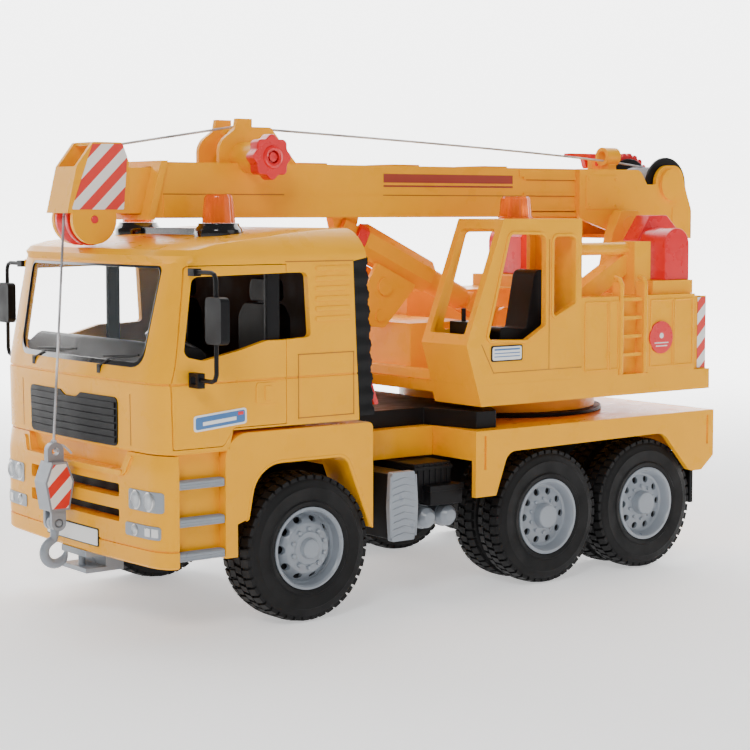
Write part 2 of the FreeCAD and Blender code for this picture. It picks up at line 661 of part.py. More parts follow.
def winch():
    """Spool with two flanges on its axle, and the red ratchet wheel beside it."""
    flange, core = D.spool_flange, 10
    spool = turned("y", [(0, -21.8), (D.axle_radius, -21.8), (D.axle_radius, -19),
                         (flange, -19), (flange, -16.5), (core, -15), (core, 12),
                         (flange, 13), (flange, 14.8), (D.axle_radius, 14.8),
                         (D.axle_radius, 21.8), (0, 21.8)],
                   ("spool_station", 0, "spool_height"))
    node("winch_spool", spool)
    teeth, tip, root = 24, D.ratchet_radius, D.ratchet_radius - 2.2
    points = []
    for tooth in range(teeth):
        for part, radius in ((0, root), (0.35, tip), (0.75, tip)):
            angle = 2 * math.pi * (tooth + part) / teeth
            points.append((radius * math.cos(angle), radius * math.sin(angle)))
    disc = place(side_plate(points, (15, 18.8)), "spool_station", 18.8, "spool_height")
    bore = rod("y", ("spool_station", "spool_height"), "axle_radius", (10, 22))
    node("ratchet_wheel", cut(disc, bore))


def winch_pawl():
    """The red thumb lever whose nose drops against the ratchet wheel."""
    lever = side_plate([(267, 238.6), (267, 241.2, 1), (291, 241.2, 2), (301, 234.6, 0.8),
                        (300, 232.8), (290.5, 236.2), (289, 231.9, 1.5), (283, 231.9, 1.5),
                        (281, 237.6), (272, 238.6)], (15, 18.8))
    pin = rod("y", (286, 234.8), 1.5, (9, 15))
    node("winch_pawl", fused(lever, pin))


def knob_bracket():
    """Two cheeks on the boom's top that hold the knob's shaft and the rope's roller."""
    x, z, base = D.knob_station, D.knob_height, D.boom_top
    cheek = side_plate([(x - 15, base), (x - 15, z + 8, 10), (x - 5, 248.5, 3), (x - 4, 254),
                        (x + 5.5, 254), (x + 5.5, 249.8), (x + 17.5, 249.8, 2), (x + 34.5, base)],
                       (-11.4, -8.6))
    boss = cut(rod("y", ("knob_station", "knob_height"), 8.4, (-30.8, -11.4)),
               block((-10, 30), ("-boom_half - 0.3", 0), (220, "boom_top")))
    shaft = rod("y", ("knob_station", "knob_height"), "bearing_radius", (-32, 20))
    roller = rod("y", ("knob_station + 1", 246.5), 2.6, (-8.6, 8.6))
    node("knob_bracket", cut(fused(cheek, mirrored(cheek), boss, roller), shaft))


def extension_knob():
    """The lobed red knob on its shaft, with the plain pinion that drives the inner boom."""
    lobes, mean, swing = 8, D.knob_radius - 0.9, 0.9
    points = []
    for step in range(lobes * 8):
        angle = 2 * math.pi * step / (lobes * 8)
        radius = mean + swing * math.cos(lobes * angle)
        points.append((radius * math.cos(angle), radius * math.sin(angle)))
    disc = place(side_plate(points, (-38.8, -31.2)), "knob_station", -31.2, "knob_height")
    recess = rod("y", ("knob_station", "knob_height"), 4.5, (-39.5, -37.3))
    shaft = rod("y", ("knob_station", "knob_height"), "axle_radius", (-31.2, 11.4))
    pinion = rod("y", ("knob_station", "knob_height"), "knob_height - slide_top - 0.3", (-7, 7))
    node("extension_knob", fused(cut(disc, recess), shaft, pinion))


def boom_inner():
    tube = block(("slide_start", "slide_end"), ("-slide_half", "slide_half"),
                 ("slide_bottom", "slide_top"))
    hollow = block(("slide_start - 1", "slide_end + 1"), ("-slide_half + 2.4", "slide_half - 2.4"),
                   ("slide_bottom + 2.4", "slide_top - 2.4"))
    node("boom_inner", cut(tube, hollow))


def boom_head():
    """Two side plates with the lower pulley cheeks, a front plate and a cap between them."""
    x, z = D.pulley_station, D.pulley_height
    cheek = side_plate([(-94.8, 204.6), (-89.3, 227.8), (-79.8, 240, 1), (-63.5, 240, 2),
                        (-59.6, 230, 3), (-60, 227.8), (-60, 204.6)], (-11, -8.4))
    disc = rod("y", ("pulley_station", "pulley_height"), 12.4, (-11, -8.4))
    bore = rod("y", ("pulley_station", "pulley_height"), 2.06, (-30, 30))
    front = side_plate([(-94.8, 204.6), (-89.3, 227.8), (-87.9, 227.8), (-93.4, 204.6)],
                       (-8.4, 8.4))
    cap = block((-79.5, -73.5), (-8.4, 8.4), (238.3, 240))
    back = block((-61.8, -60), (-8.4, 8.4), (206.6, 225.4))
    node("boom_head", cut(fused(cheek, mirrored(cheek), disc, mirrored(disc), front, cap, back),
                          bore))


def head_pulley():
    rim, groove = D.pulley_radius, D.pulley_radius - 2.5
    wheel = turned("y", [(0, -11.4), (2, -11.4), (2, -6.5), (rim, -6.5), (rim, -4),
                         (groove, -1), (groove, 1), (rim, 4), (rim, 6.5), (2, 6.5), (2, 11.4),
                         (0, 11.4)], ("pulley_station", 0, "pulley_height"))
    node("head_pulley", wheel)


# ---------------------------------------------------------------- lift cylinder

def cylinder_run():
    """Where the lift cylinder starts, which way it runs, and its length at rest."""
    top = FreeCAD.Vector(D.cylinder_top_station, 0, D.cylinder_top_height)
    foot = FreeCAD.Vector(D.cylinder_foot_station, 0, D.cylinder_foot_height)
    run = foot - top
    return FreeCAD.Vector(run).normalize(), run.Length


def octagon(radius):
    flat = radius * math.tan(math.pi / 8)
    return [(-radius, -flat), (-radius, flat), (-flat, radius), (flat, radius), (radius, flat),
            (radius, -flat), (flat, -radius), (-flat, -radius)]


def lift_cylinder():
    """Barrel, middle tube and rod, each built along +x from the upper pin and then tilted."""
    direction, length = cylinder_run()
    origin = ("cylinder_top_station", 0, "cylinder_top_height")
    barrel_end, middle_end, inner_gap = 64, 94, 0.12
    fork = [block((-4.5, 13), y, (-4.5, 4.5)) for y in ((-6.6, -3.3), (3.3, 6.6))]
    pin = rod("y", (0, 0), 2, (-6.6, 6.6))
    case = cut(cross_plate(octagon(9.5), (12, barrel_end)),
               rod("x", (0, 0), 7 + inner_gap, (16, barrel_end + 1)))
    flange = side_plate([(24, -9), (22, -28, 2), (31, -44, 6), (44, -40, 4), (54, -12, 3),
                         (54, -9)], (-9, 9))
    flange = cut(flange, block((10, 70), (-6.2, 6.2), (-60, -9)))
    bosses = [rod("y", (34, -19), 5, (-10.6, -9)), rod("y", (38, -35), 3.4, (-10.4, -9))]
    barrel = fused(*fork, pin, case, flange, *bosses)
    node("cylinder_barrel", tilted(barrel, origin, direction))
    node("cylinder_cap", tilted(red_cap(), origin, direction))
    middle = cut(rod("x", (0, 0), 7, (18, middle_end)),
                 rod("x", (0, 0), 5 + inner_gap, (24, middle_end + 1)))
    node("cylinder_tube", tilted(middle, origin, direction))
    eye = rod("y", (length, 0), 7, (-6, 6))
    neck = block((middle_end + 4, length - 3), (-6, 6), (-6, 6))
    piston = rod("x", (0, 0), 5, (28, length - 6))
    node("cylinder_rod", tilted(fused(eye, neck, piston), origin, direction))


def red_cap():
    """The red cover over the barrel's upper end, clear of the boom's lug."""
    cover = cross_plate(octagon(9.5), (5, 12))
    return cut(cover, block((-1, 13), (-6.6, 6.6), (-20, 20)))


# ---------------------------------------------------------------- hook and rope

def hook_block():
    x, pin_z = D.hook_station, D.hook_pin_height
    body = side_plate([(x - 4.2, 80.5), (x + 4.2, 80.5), (x + 8, 70.5), (x + 5.4, 56),
                       (x - 5.4, 56), (x - 8, 70.5)], (-6, 6))
    lug = side_plate([(x - 4.5, 80), (x - 4.5, 90, 4.4), (x + 4.5, 90, 4.4), (x + 4.5, 80)],
                     (-2, 2))
    eye = rod("y", ("hook_station", 85.5), 2, (-5, 5))
    fork = [side_plate([(x - 4, 56.5), (x - 4, pin_z - 4, 3.9), (x + 4, pin_z - 4, 3.9),
                        (x + 4, 56.5)], y) for y in ((-4.6, -2.4), (2.4, 4.6))]
    bore = rod("y", ("hook_station", "hook_pin_height"), 1.56, (-9, 9))
    node("hook_block", cut(fused(body, lug, *fork), eye, bore))


def hook():
    """Eye, shank and open hook in one plate, with the pin that it hangs on."""
    x, z = D.hook_station, D.hook_pin_height - 15
    eye = rod("y", ("hook_station", "hook_pin_height"), 3.6, (-2, 2))
    pin = rod("y", ("hook_station", "hook_pin_height"), 1.5, (-4.6, 4.6))
    shank = block((x - 2, x + 1.6), (-2, 2), (z + 6, "hook_pin_height"))
    ring = cut(rod("y", (x, z), 8, (-2, 2)), rod("y", (x, z), 4.2, (-3, 3)))
    mouth = side_plate([(x + 1.6, z + 1), (x + 12, z + 1), (x + 12, z + 12), (x + 1.6, z + 12)],
                       (-4, 4))
    node("hook", fused(eye, pin, shank, cut(ring, mouth)))


def rope(label, points):
    """A tight rope: straight runs joined by arcs as large as the shorter run allows."""
    route = [FreeCAD.Vector(*point) for point in points]
    ends = [(route[0], route[0], route[0])]
    for before, corner, after in zip(route, route[1:], route[2:]):
        back, ahead = before - corner, after - corner
        reach = 0.45 * min(back.Length, ahead.Length)
        back, ahead = back.normalize(), ahead.normalize()
        half = back.getAngle(ahead) / 2
        radius = reach * math.tan(half)
        print(f"{label}: bend radius {radius:.0f} mm")
        apex = corner + (back + ahead).normalize() * (radius / math.sin(half) - radius)
        ends.append((corner + back * reach, apex, corner + ahead * reach))
    ends.append((route[-1],) * 3)
    edges = []
    for (_, _, leave), (arrive, apex, end) in zip(ends, ends[1:]):
        edges.append(Part.LineSegment(leave, arrive).toShape())
        if end != arrive:
            edges.append(Part.Arc(arrive, apex, end).toShape())
    path = Part.Wire(edges)
    along = (route[1] - route[0]).normalize()
    section = Part.Wire(Part.Circle(route[0], along, D.rope_radius).toShape())
    solid = path.makePipeShell([section], True, False)
    print(f"{label}: length {path.Length:.1f} mm, volume "
          f"{solid.Volume / (math.pi * D.rope_radius ** 2 * path.Length):.4f} of nominal")
    part = doc.addObject("Part::Feature", "rope")
    part.Shape = solid
    part.Label = label
    NODES.append(place(part, x="-mid_station"))


ROPE_REAR = [(10.1, 0, 250), (287, 0, 239), (321.3, 0, 232)]
ROPE_FRONT = [(9.9, 0, 250), (-60, 0, 239.2), (-84, 0, 235.4), (-90.9, 0, 203.2)]
ROPE_FALL = [(-90.9, 0, 202.8), (-98, 0, 90.3)]


def build():
    for make in (wheels, chassis, frame_cover, rear_body, slew_ring, side_gear, tow_coupling,
                 cab_shell, windshield, front_end, front_fenders, cab_inside, cab_outside,
                 doors, mirrors, crane_deck, crane_cab, crane_cab_fittings, engine_housing,
                 right_housing, boom_towers, boom_shell, winch_housing, winch, winch_pawl,
                 knob_bracket, extension_knob, boom_inner, boom_head, head_pulley,
                 lift_cylinder, hook_block, hook):
        make()
    rope("rope_rear", ROPE_REAR)
    rope("rope_front", ROPE_FRONT)
    rope("rope_fall", ROPE_FALL)


def check():
    """Every object must have computed, and every node must be a valid shape."""
    failed = [item.Name for item in doc.Objects
              if "Invalid" in item.State or "Error" in item.State]
    failed += [part.Label for part in NODES if part.Shape.isNull() or not part.Shape.isValid()]
    if failed:
        raise RuntimeError("not built: " + ", ".join(failed))


def export():
    os.makedirs("parts", exist_ok=True)
    for part in NODES:
        part.Shape.exportStep(f"parts/{part.Label}.step")
    whole = Part.makeCompound([part.Shape for part in NODES])
    print(len(NODES), "nodes", whole.BoundBox)


build()
doc.recompute()
check()
export()
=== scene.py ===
import json
import math

import bmesh
import bpy
from mathutils import Matrix, Vector


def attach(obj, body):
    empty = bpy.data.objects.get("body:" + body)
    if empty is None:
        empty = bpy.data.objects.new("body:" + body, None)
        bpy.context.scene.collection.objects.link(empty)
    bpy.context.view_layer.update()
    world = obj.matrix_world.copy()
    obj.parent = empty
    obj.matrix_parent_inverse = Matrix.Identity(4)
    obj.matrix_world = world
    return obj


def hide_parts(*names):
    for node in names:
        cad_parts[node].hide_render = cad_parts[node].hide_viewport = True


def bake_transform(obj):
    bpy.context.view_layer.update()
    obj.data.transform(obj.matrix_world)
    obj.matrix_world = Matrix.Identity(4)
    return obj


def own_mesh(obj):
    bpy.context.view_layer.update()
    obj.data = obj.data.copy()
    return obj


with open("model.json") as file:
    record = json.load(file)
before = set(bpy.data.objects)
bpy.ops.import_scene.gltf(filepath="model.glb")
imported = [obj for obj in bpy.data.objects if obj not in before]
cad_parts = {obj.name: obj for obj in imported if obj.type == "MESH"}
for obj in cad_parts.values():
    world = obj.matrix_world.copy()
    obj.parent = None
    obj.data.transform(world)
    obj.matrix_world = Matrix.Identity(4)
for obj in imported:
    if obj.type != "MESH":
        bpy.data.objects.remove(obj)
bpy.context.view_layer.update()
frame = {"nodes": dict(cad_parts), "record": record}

# Lengths below are millimetres in stations: x runs backwards from the front axle, y to the
# toy's right and z up.  at() turns a station into the row frame, in metres.
MID = 116.83
SIDE = -84                      # the truck's left side face
WHEEL_RADIUS = 37.5
CAMERA_AZIMUTH = -37.2
CRANE = "superstructure"
AWAY_FROM_CAMERA = (0.6046, 0.7965, 0)
BODY_OF = {node: body for body, nodes in frame["record"]["behaviour"]["bodies"].items()
    for node in nodes}
SLOT_OF = {part["node"]: part["material_slot"] for part in frame["record"]["subparts"]}


def at(x, y, z):
    return Vector(((x - MID) / 1000, y / 1000, z / 1000))


def linked(name, data):
    obj = bpy.data.objects.new(name, data)
    bpy.context.collection.objects.link(obj)
    return obj


def aimed(obj, place, direction):
    obj.location = place
    obj.rotation_mode = "QUATERNION"
    obj.rotation_quaternion = direction.to_track_quat("-Z", "Y")


# -------- camera, floor and lights

def camera():
    data = bpy.data.cameras.new("camera")
    data.lens, data.sensor_width = 89.44, 36
    data.shift_x, data.shift_y = 0.0108, -0.0388
    data.clip_start, data.clip_end = 0.01, 50
    obj = linked("camera", data)
    azimuth, elevation = math.radians(CAMERA_AZIMUTH), math.radians(4.2)
    back = Vector((math.sin(azimuth) * math.cos(elevation),
        -math.cos(azimuth) * math.cos(elevation), math.sin(elevation)))
    aimed(obj, (-0.6511, -0.8345, 0.2066), -back)
    bpy.context.scene.camera = obj


def area_light(name, place, size, power):
    data = bpy.data.lights.new(name, "AREA")
    data.shape, data.size, data.energy = "DISK", size, power
    aimed(linked(name, data), place, Vector((0, 0, 0.1)) - Vector(place))


def studio():
    """A pale sweep of paper, brighter behind the toy, and three large soft lamps."""
    world = bpy.data.worlds.new("studio")
    world.use_nodes = True
    preset(world.node_tree.nodes["Background"], Color=(1, 1, 1, 1), Strength=0.2)
    bpy.context.scene.world = world
    bm = bmesh.new()
    profile = [(-6, 0), (1.2, 0), (1.7, 0.05), (2.05, 0.25), (2.2, 0.6), (2.2, 4)]
    turn = Matrix.Rotation(math.radians(CAMERA_AZIMUTH), 3, "Z")
    rows = [[bm.verts.new(turn @ Vector((x, y, z - 0.0002))) for x in (-5, 5)] for y, z in profile]
    for first, second in zip(rows, rows[1:]):
        bm.faces.new((first[0], first[1], second[1], second[0]))
    mesh = meshed("studio_floor", bm)
    mesh.shade_smooth()
    floor = linked("studio_floor", mesh)
    floor.data.materials.append(MATERIALS["paper"])
    area_light("key", (-1.4, -1.3, 1.4), 0.7, 20)
    area_light("fill", (0.9, -1.9, 0.8), 1.4, 4.5)
    area_light("top", (0.2, 0.4, 1.9), 0.9, 9)


# -------- materials

MATERIALS = {}


def new_material(name):
    """A material kept under the name asked for, which Blender may have to number."""
    material = MATERIALS[name] = bpy.data.materials.new(name)
    material.use_nodes = True
    return material.node_tree, material.node_tree.nodes["Principled BSDF"]


def preset(node, **values):
    """Sets a node's inputs; an underscore stands for a blank in an input's name."""
    for name, value in values.items():
        node.inputs[name.replace("_", " ")].default_value = value


def added(tree, kind, **values):
    node = tree.nodes.new("ShaderNode" + kind)
    preset(node, **values)
    return node


def noise(tree, scale, detail=3):
    place = added(tree, "TexCoord")
    node = added(tree, "TexNoise", Scale=scale, Detail=detail, Roughness=0.5)
    tree.links.new(place.outputs["Object"], node.inputs["Vector"])
    return node.outputs["Fac"]


def ramp(tree, value, low, high):
    node = added(tree, "MapRange", From_Min=0.3, From_Max=0.7, To_Min=low, To_Max=high)
    tree.links.new(value, node.inputs["Value"])
    return node.outputs["Result"]


def blended(tree, shader, first, second, factor):
    mix = tree.nodes.new("ShaderNodeMix")
    mix.data_type = "RGBA"
    mix.inputs["A"].default_value, mix.inputs["B"].default_value = first, second
    tree.links.new(factor, mix.inputs["Factor"])
    tree.links.new(mix.outputs["Result"], shader.inputs["Base Color"])


def vary_colour(tree, shader, colour, amount, scale):
    blended(tree, shader, (*[c * (1 - amount) for c in colour], 1),
        (*[min(1, c * (1 + amount)) for c in colour], 1), ramp(tree, noise(tree, scale), 0, 1))


def bump(tree, shader, height, strength, distance):
    node = added(tree, "Bump", Strength=strength, Distance=distance)
    tree.links.new(height, node.inputs["Height"])
    tree.links.new(node.outputs["Normal"], shader.inputs["Normal"])


def plastic(name, colour, rough=0.3, grain=1400, depth=0.00002, coat=0.0, amount=0.05, spec=0.5):
    """Moulded plastic: faint mottling, uneven gloss and a fine moulded grain."""
    tree, shader = new_material(name)
    vary_colour(tree, shader, colour, amount, 45)
    tree.links.new(ramp(tree, noise(tree, 90, 5), rough * 0.8, rough * 1.25),
        shader.inputs["Roughness"])
    preset(shader, Specular_IOR_Level=spec, Coat_Weight=coat, Coat_Roughness=0.12)
    bump(tree, shader, noise(tree, grain, 2), 0.35, depth)
    return shader


def metal(name, colour, rough=0.35):
    preset(plastic(name, colour, rough, 900, 0.00003), Metallic=0.85)


def see_through(name, colour, rough, alpha):
    tree, shader = new_material(name)
    vary_colour(tree, shader, colour, 0.06, 60)
    tree.links.new(ramp(tree, noise(tree, 70), rough * 0.7, rough * 1.4),
        shader.inputs["Roughness"])
    preset(shader, Alpha=alpha, IOR=1.49)
    bump(tree, shader, noise(tree, 300), 0.2, 0.00004)


def amber(name):
    tree, shader = new_material(name)
    vary_colour(tree, shader, (1.0, 0.17, 0.002), 0.1, 120)
    # A faint emission paints a glow into the amber lens.
    preset(shader, Transmission_Weight=0.4, Roughness=0.12, IOR=1.45,
        Emission_Color=(1.0, 0.2, 0.0, 1), Emission_Strength=0.06)
    bump(tree, shader, noise(tree, 500), 0.2, 0.00004)


def along(tree, direction):
    """Distance along a direction in an object's own coordinates, in metres."""
    place, dot = added(tree, "TexCoord"), added(tree, "VectorMath")
    dot.operation = "DOT_PRODUCT"
    dot.inputs[1].default_value = direction
    tree.links.new(place.outputs["Object"], dot.inputs[0])
    return dot.outputs["Value"]


def calculated(tree, operation, value, *numbers):
    node = added(tree, "Math")
    node.operation = operation
    tree.links.new(value, node.inputs[0])
    for index, number in enumerate(numbers, 1):
        node.inputs[index].default_value = number
    return node.outputs[0]


def striped(name, first, second, pitch, direction, offset=0.0, rough=0.35):
    """Two-colour diagonal stripes across an object's own coordinates, in metres."""
    tree, shader = new_material(name)
    saw = calculated(tree, "MULTIPLY_ADD", along(tree, direction), 1 / pitch, offset)
    step = calculated(tree, "GREATER_THAN", calculated(tree, "FRACT", saw), 0.5)
    blended(tree, shader, (*first, 1), (*second, 1), step)
    tree.links.new(ramp(tree, noise(tree, 150), rough * 0.8, rough * 1.2),
        shader.inputs["Roughness"])
    bump(tree, shader, noise(tree, 1200), 0.2, 0.00002)


YELLOW = (0.98, 0.43, 0.0)
RED = (0.78, 0.005, 0.012)
WHITE = (0.86, 0.86, 0.84)

plastic("yellow_plastic", YELLOW, 0.3, coat=0.1, amount=0.03, spec=0.12)
plastic("red_plastic", RED, 0.28, coat=0.2)
plastic("black_plastic", (0.008, 0.008, 0.009), 0.4, amount=0.2, spec=0.14)
plastic("gloss_black", (0.006, 0.006, 0.007), 0.14, 500, 0.00001, coat=0.5)
# Painted highlight: black plastic lifted to dark grey to paint the sheen on the steering wheel.
plastic("painted_sheen_black", (0.07, 0.07, 0.075), 0.25, coat=0.3)
plastic("silver_plastic", (0.26, 0.29, 0.33), 0.32, coat=0.2, amount=0.08)
plastic("tyre_rubber", (0.007, 0.007, 0.0075), 0.6, 700, 0.00008, amount=0.25, spec=0.25)
metal("steel", (0.62, 0.62, 0.62), 0.3)
see_through("clear_plastic", (0.3, 0.33, 0.35), 0.06, 0.08)
see_through("lamp_glass", (0.75, 0.8, 0.84), 0.08, 0.45)
amber("amber_plastic")
plastic("grey_cord", (0.5, 0.5, 0.52), 0.7, 3000, 0.0001, amount=0.6)
# Painted shade: a brown for thin lines that stand for the shadow in grooves and under ridges.
plastic("painted_shade_line", (0.42, 0.12, 0.002), 0.6, amount=0.15)
# Painted shade: a near-black brown standing for yellow plastic in shade inside the cab.
plastic("painted_shade_plastic", (0.045, 0.012, 0.002), 0.6, amount=0.15, spec=0.2)
plastic("label_white", WHITE, 0.4, amount=0.03)
plastic("dark_red", (0.33, 0.03, 0.008), 0.4, amount=0.05)
plastic("label_blue", (0.05, 0.17, 0.42), 0.4, amount=0.05)
striped("warning_stripes", WHITE, (0.75, 0.03, 0.02), 0.0098, (0.69, 0, -0.72), 0.1)
plastic("paper", (0.83, 0.83, 0.83), 0.75, 300, 0.0001, amount=0.008, spec=0.2)


def glow_behind(material, near, far):
    """Lights the sweep from near strength beside the toy to far strength well behind it."""
    tree = material.node_tree
    shader = tree.nodes["Principled BSDF"]
    grade = added(tree, "MapRange", From_Min=0.1, From_Max=1.5, To_Min=near, To_Max=far)
    grade.interpolation_type = "SMOOTHSTEP"
    tree.links.new(along(tree, AWAY_FROM_CAMERA), grade.inputs["Value"])
    preset(shader, Emission_Color=(1, 1, 1, 1))
    tree.links.new(grade.outputs["Result"], shader.inputs["Emission Strength"])


glow_behind(MATERIALS["paper"], 0.6, 4)


# -------- shaping

def rounded(outline, steps=5):
    """A closed outline; a corner given with a third number is rounded to that radius."""
    points = []
    for index, point in enumerate(outline):
        corner = Vector(point[:2])
        if len(point) < 3:
            points.append(corner)
            continue
        back = (Vector(outline[index - 1][:2]) - corner).normalized()
        ahead = (Vector(outline[(index + 1) % len(outline)][:2]) - corner).normalized()
        half = back.angle(ahead) / 2
        centre = corner + (back + ahead).normalized() * (point[2] / math.sin(half))
        start = corner + back * (point[2] / math.tan(half)) - centre
        end = corner + ahead * (point[2] / math.tan(half)) - centre
        for step in range(steps + 1):
            ray = start.lerp(end, step / steps)
            points.append(centre + ray.normalized() * point[2])
    return points


def polar(radius, angle):
    return radius * math.cos(angle), radius * math.sin(angle)


def spot(axis, a, b, t):
    """A point from two in-plane numbers and the distance along the axis."""
    if axis == "x":
        return Vector((t, a, b))
    return Vector((a, t, b)) if axis == "y" else Vector((a, b, t))


def slab(bm, axis, outline, low, high):
    """A prism: an outline across the axis, between two distances along it."""
    flat = rounded(outline)
    first = [bm.verts.new(spot(axis, a, b, low)) for a, b in flat]
    second = [bm.verts.new(spot(axis, a, b, high)) for a, b in flat]
    bm.faces.new(first)
    bm.faces.new(second[::-1])
    for index in range(len(flat)):
        bm.faces.new((first[index - 1], first[index], second[index], second[index - 1]))


def rect(a, b, *radius):
    """A rectangle's outline, with its corners rounded if a radius is given."""
    return [(a[0], b[0], *radius), (a[1], b[0], *radius), (a[1], b[1], *radius),
        (a[0], b[1], *radius)]


def brick(bm, x, y, z):
    slab(bm, "z", rect(x, y), z[0], z[1])


def ordered(side, a, b):
    """A stretch of y on one side of the toy, low end first."""
    return sorted((side * a, side * b))


def blank(count):
    return [bmesh.new() for _ in range(count)]


def skin(bm, rings):
    """Closes rings of points into a form with flat ends."""
    for first, second in zip(rings, rings[1:]):
        for index in range(len(first)):
            bm.faces.new((first[index - 1], first[index], second[index], second[index - 1]))
    bm.faces.new(rings[0][::-1])
    bm.faces.new(rings[-1])


def lathe(bm, axis, centre, profile, steps=64, close=True):
    """A turned form; the profile holds (radius, distance along the axis)."""
    rings = []
    for radius, along in profile:
        if radius < 1e-4:
            rings.append([bm.verts.new(Vector(centre) + spot(axis, 0, 0, along))])
            continue
        rings.append([bm.verts.new(Vector(centre) + spot(
            axis, *polar(radius, 2 * math.pi * step / steps), along)) for step in range(steps)])
    pairs = list(zip(rings, rings[1:])) + ([(rings[-1], rings[0])] if close else [])
    for first, second in pairs:
        for step in range(steps):
            ahead = (step + 1) % steps
            if len(first) == 1 and len(second) == 1:
                continue
            if len(first) == 1:
                bm.faces.new((first[0], second[step], second[ahead]))
            elif len(second) == 1:
                bm.faces.new((first[step], second[0], first[ahead]))
            else:
                bm.faces.new((first[step], second[step], second[ahead], first[ahead]))


def tube(bm, points, radius, steps=10):
    """A round bar that follows points, with its ends closed; radius may hold one per point."""
    sizes = radius if isinstance(radius, list) else [radius] * len(points)
    points = [Vector(point) for point in points]
    side = None
    rings = []
    for index, point in enumerate(points):
        ahead = points[min(index + 1, len(points) - 1)] - points[max(index - 1, 0)]
        ahead.normalize()
        side = side or ahead.orthogonal()
        side = (side - ahead * side.dot(ahead)).normalized()
        other = ahead.cross(side)
        rings.append([bm.verts.new(point + sizes[index] * (
            side * math.cos(2 * math.pi * s / steps) + other * math.sin(2 * math.pi * s / steps)))
            for s in range(steps)])
    for first, second in zip(rings, rings[1:]):
        for s in range(steps):
            bm.faces.new((first[s], first[(s + 1) % steps], second[(s + 1) % steps], second[s]))
    bm.faces.new(rings[0][::-1])
    bm.faces.new(rings[-1])


def meshed(name, bm):
    mesh = bpy.data.meshes.new(name)
    bm.to_mesh(mesh)
    return mesh


def copied(bm, source, matrix):
    """Adds a moved copy of everything in source."""
    mesh = meshed("copy", source)
    mesh.transform(matrix)
    bm.from_mesh(mesh)
    bpy.data.meshes.remove(mesh)


def flip(bm):
    """Adds a mirror image on the toy's other side."""
    copied(bm, bm, Matrix.Diagonal((1, -1, 1, 1)))


def joined(bm, form):
    """Adds a form and frees it."""
    copied(bm, form, Matrix.Identity(4))
    form.free()


def soft_edges(bm, width):
    bmesh.ops.recalc_face_normals(bm, faces=bm.faces)
    sharp = [edge for edge in bm.edges if len(edge.link_faces) == 2
        and edge.calc_face_angle(0) > math.radians(28)]
    if sharp:
        bmesh.ops.bevel(bm, geom=sharp, offset=width, offset_type="OFFSET", segments=2,
            profile=0.5, affect="EDGES", clamp_overlap=True)


def finished(name, bm, material, body="truck", nodes=(), bevel=0):
    """Turns a built form into a piece that rides on a body and stands for some CAD nodes."""
    if bevel:
        bmesh.ops.remove_doubles(bm, verts=bm.verts, dist=1e-4)
        soft_edges(bm, bevel)
    else:
        bmesh.ops.recalc_face_normals(bm, faces=bm.faces)
    mesh = meshed(name, bm)
    bm.free()
    mesh.transform(Matrix.Diagonal((0.001, 0.001, 0.001, 1)) @ Matrix.Translation((-MID, 0, 0)))
    mesh.shade_smooth()
    mesh.set_sharp_from_angle(angle=math.radians(38))
    obj = linked(name, mesh)
    mesh.materials.append(MATERIALS[material])
    normals = obj.modifiers.new("normals", "WEIGHTED_NORMAL")
    normals.keep_sharp = True
    if nodes:
        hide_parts(*nodes)
    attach(obj, body)


def from_node(node):
    """The CAD node's own form in millimetre stations, with flat areas made whole again."""
    bm = bmesh.new()
    bm.from_mesh(frame["nodes"][node].data)
    bm.transform(Matrix.Translation((MID, 0, 0)) @ Matrix.Diagonal((1000, 1000, 1000, 1)))
    bmesh.ops.remove_doubles(bm, verts=bm.verts, dist=0.004)
    bmesh.ops.dissolve_limit(bm, angle_limit=math.radians(0.8), verts=bm.verts, edges=bm.edges)
    return bm


def carved(bm, cutter, operation="DIFFERENCE"):
    """Cuts one form out of another, or keeps what they share."""
    objs = []
    for name, form in (("target", bm), ("cutter", cutter)):
        bmesh.ops.recalc_face_normals(form, faces=form.faces)
        objs.append(linked(name, meshed(name, form)))
    modifier = objs[0].modifiers.new("cut", "BOOLEAN")
    modifier.object, modifier.operation, modifier.solver = objs[1], operation, "EXACT"
    modifier.use_self = True
    bpy.context.view_layer.update()
    result = objs[0].evaluated_get(bpy.context.evaluated_depsgraph_get()).to_mesh()
    out = bmesh.new()
    out.from_mesh(result)
    for obj in objs:
        mesh = obj.data
        bpy.data.objects.remove(obj)
        bpy.data.meshes.remove(mesh)
    bm.free()
    cutter.free()
    bmesh.ops.dissolve_limit(out, angle_limit=math.radians(0.5), verts=out.verts, edges=out.edges)
    return out


def stand_in(node, bm, bevel=0, material=None):
    """Puts a built form in the place of a CAD node, on its body and in its slot."""
    finished(node + "_form", bm, material or SLOT_OF[node], BODY_OF[node], [node], bevel)


def soften(node, bevel=0.5):
    """A plain CAD node with its edges rounded as moulded plastic's are."""
    stand_in(node, from_node(node), bevel)


# -------- cords

def spline(points):
    """The points that a smooth line through a route's control points follows."""
    data = bpy.data.curves.new("route", "CURVE")
    data.dimensions = "3D"
    line = data.splines.new("NURBS")
    line.points.add(len(points) - 1)
    for point, place in zip(line.points, points):
        point.co = (*at(*place), 1)
    line.use_endpoint_u = True
    line.order_u = 3
    line.resolution_u = 40
    obj = linked("route", data)
    bpy.context.view_layer.update()
    mesh = bpy.data.meshes.new_from_object(obj.evaluated_get(bpy.context.evaluated_depsgraph_get()))
    followed = [vertex.co.copy() for vertex in mesh.vertices]
    bpy.data.objects.remove(obj)
    bpy.data.meshes.remove(mesh)
    return followed


def walked(points, spacing):
    """The same line in even steps."""
    out, left = [points[0]], spacing
    for first, second in zip(points, points[1:]):
        run, length = second - first, (second - first).length
        along = left
        while along < length:
            out.append(first + run * (along / length))
            along += spacing
        left = along - length
    if (out[-1] - points[-1]).length > spacing * 0.3:
        out.append(points[-1])
    return out


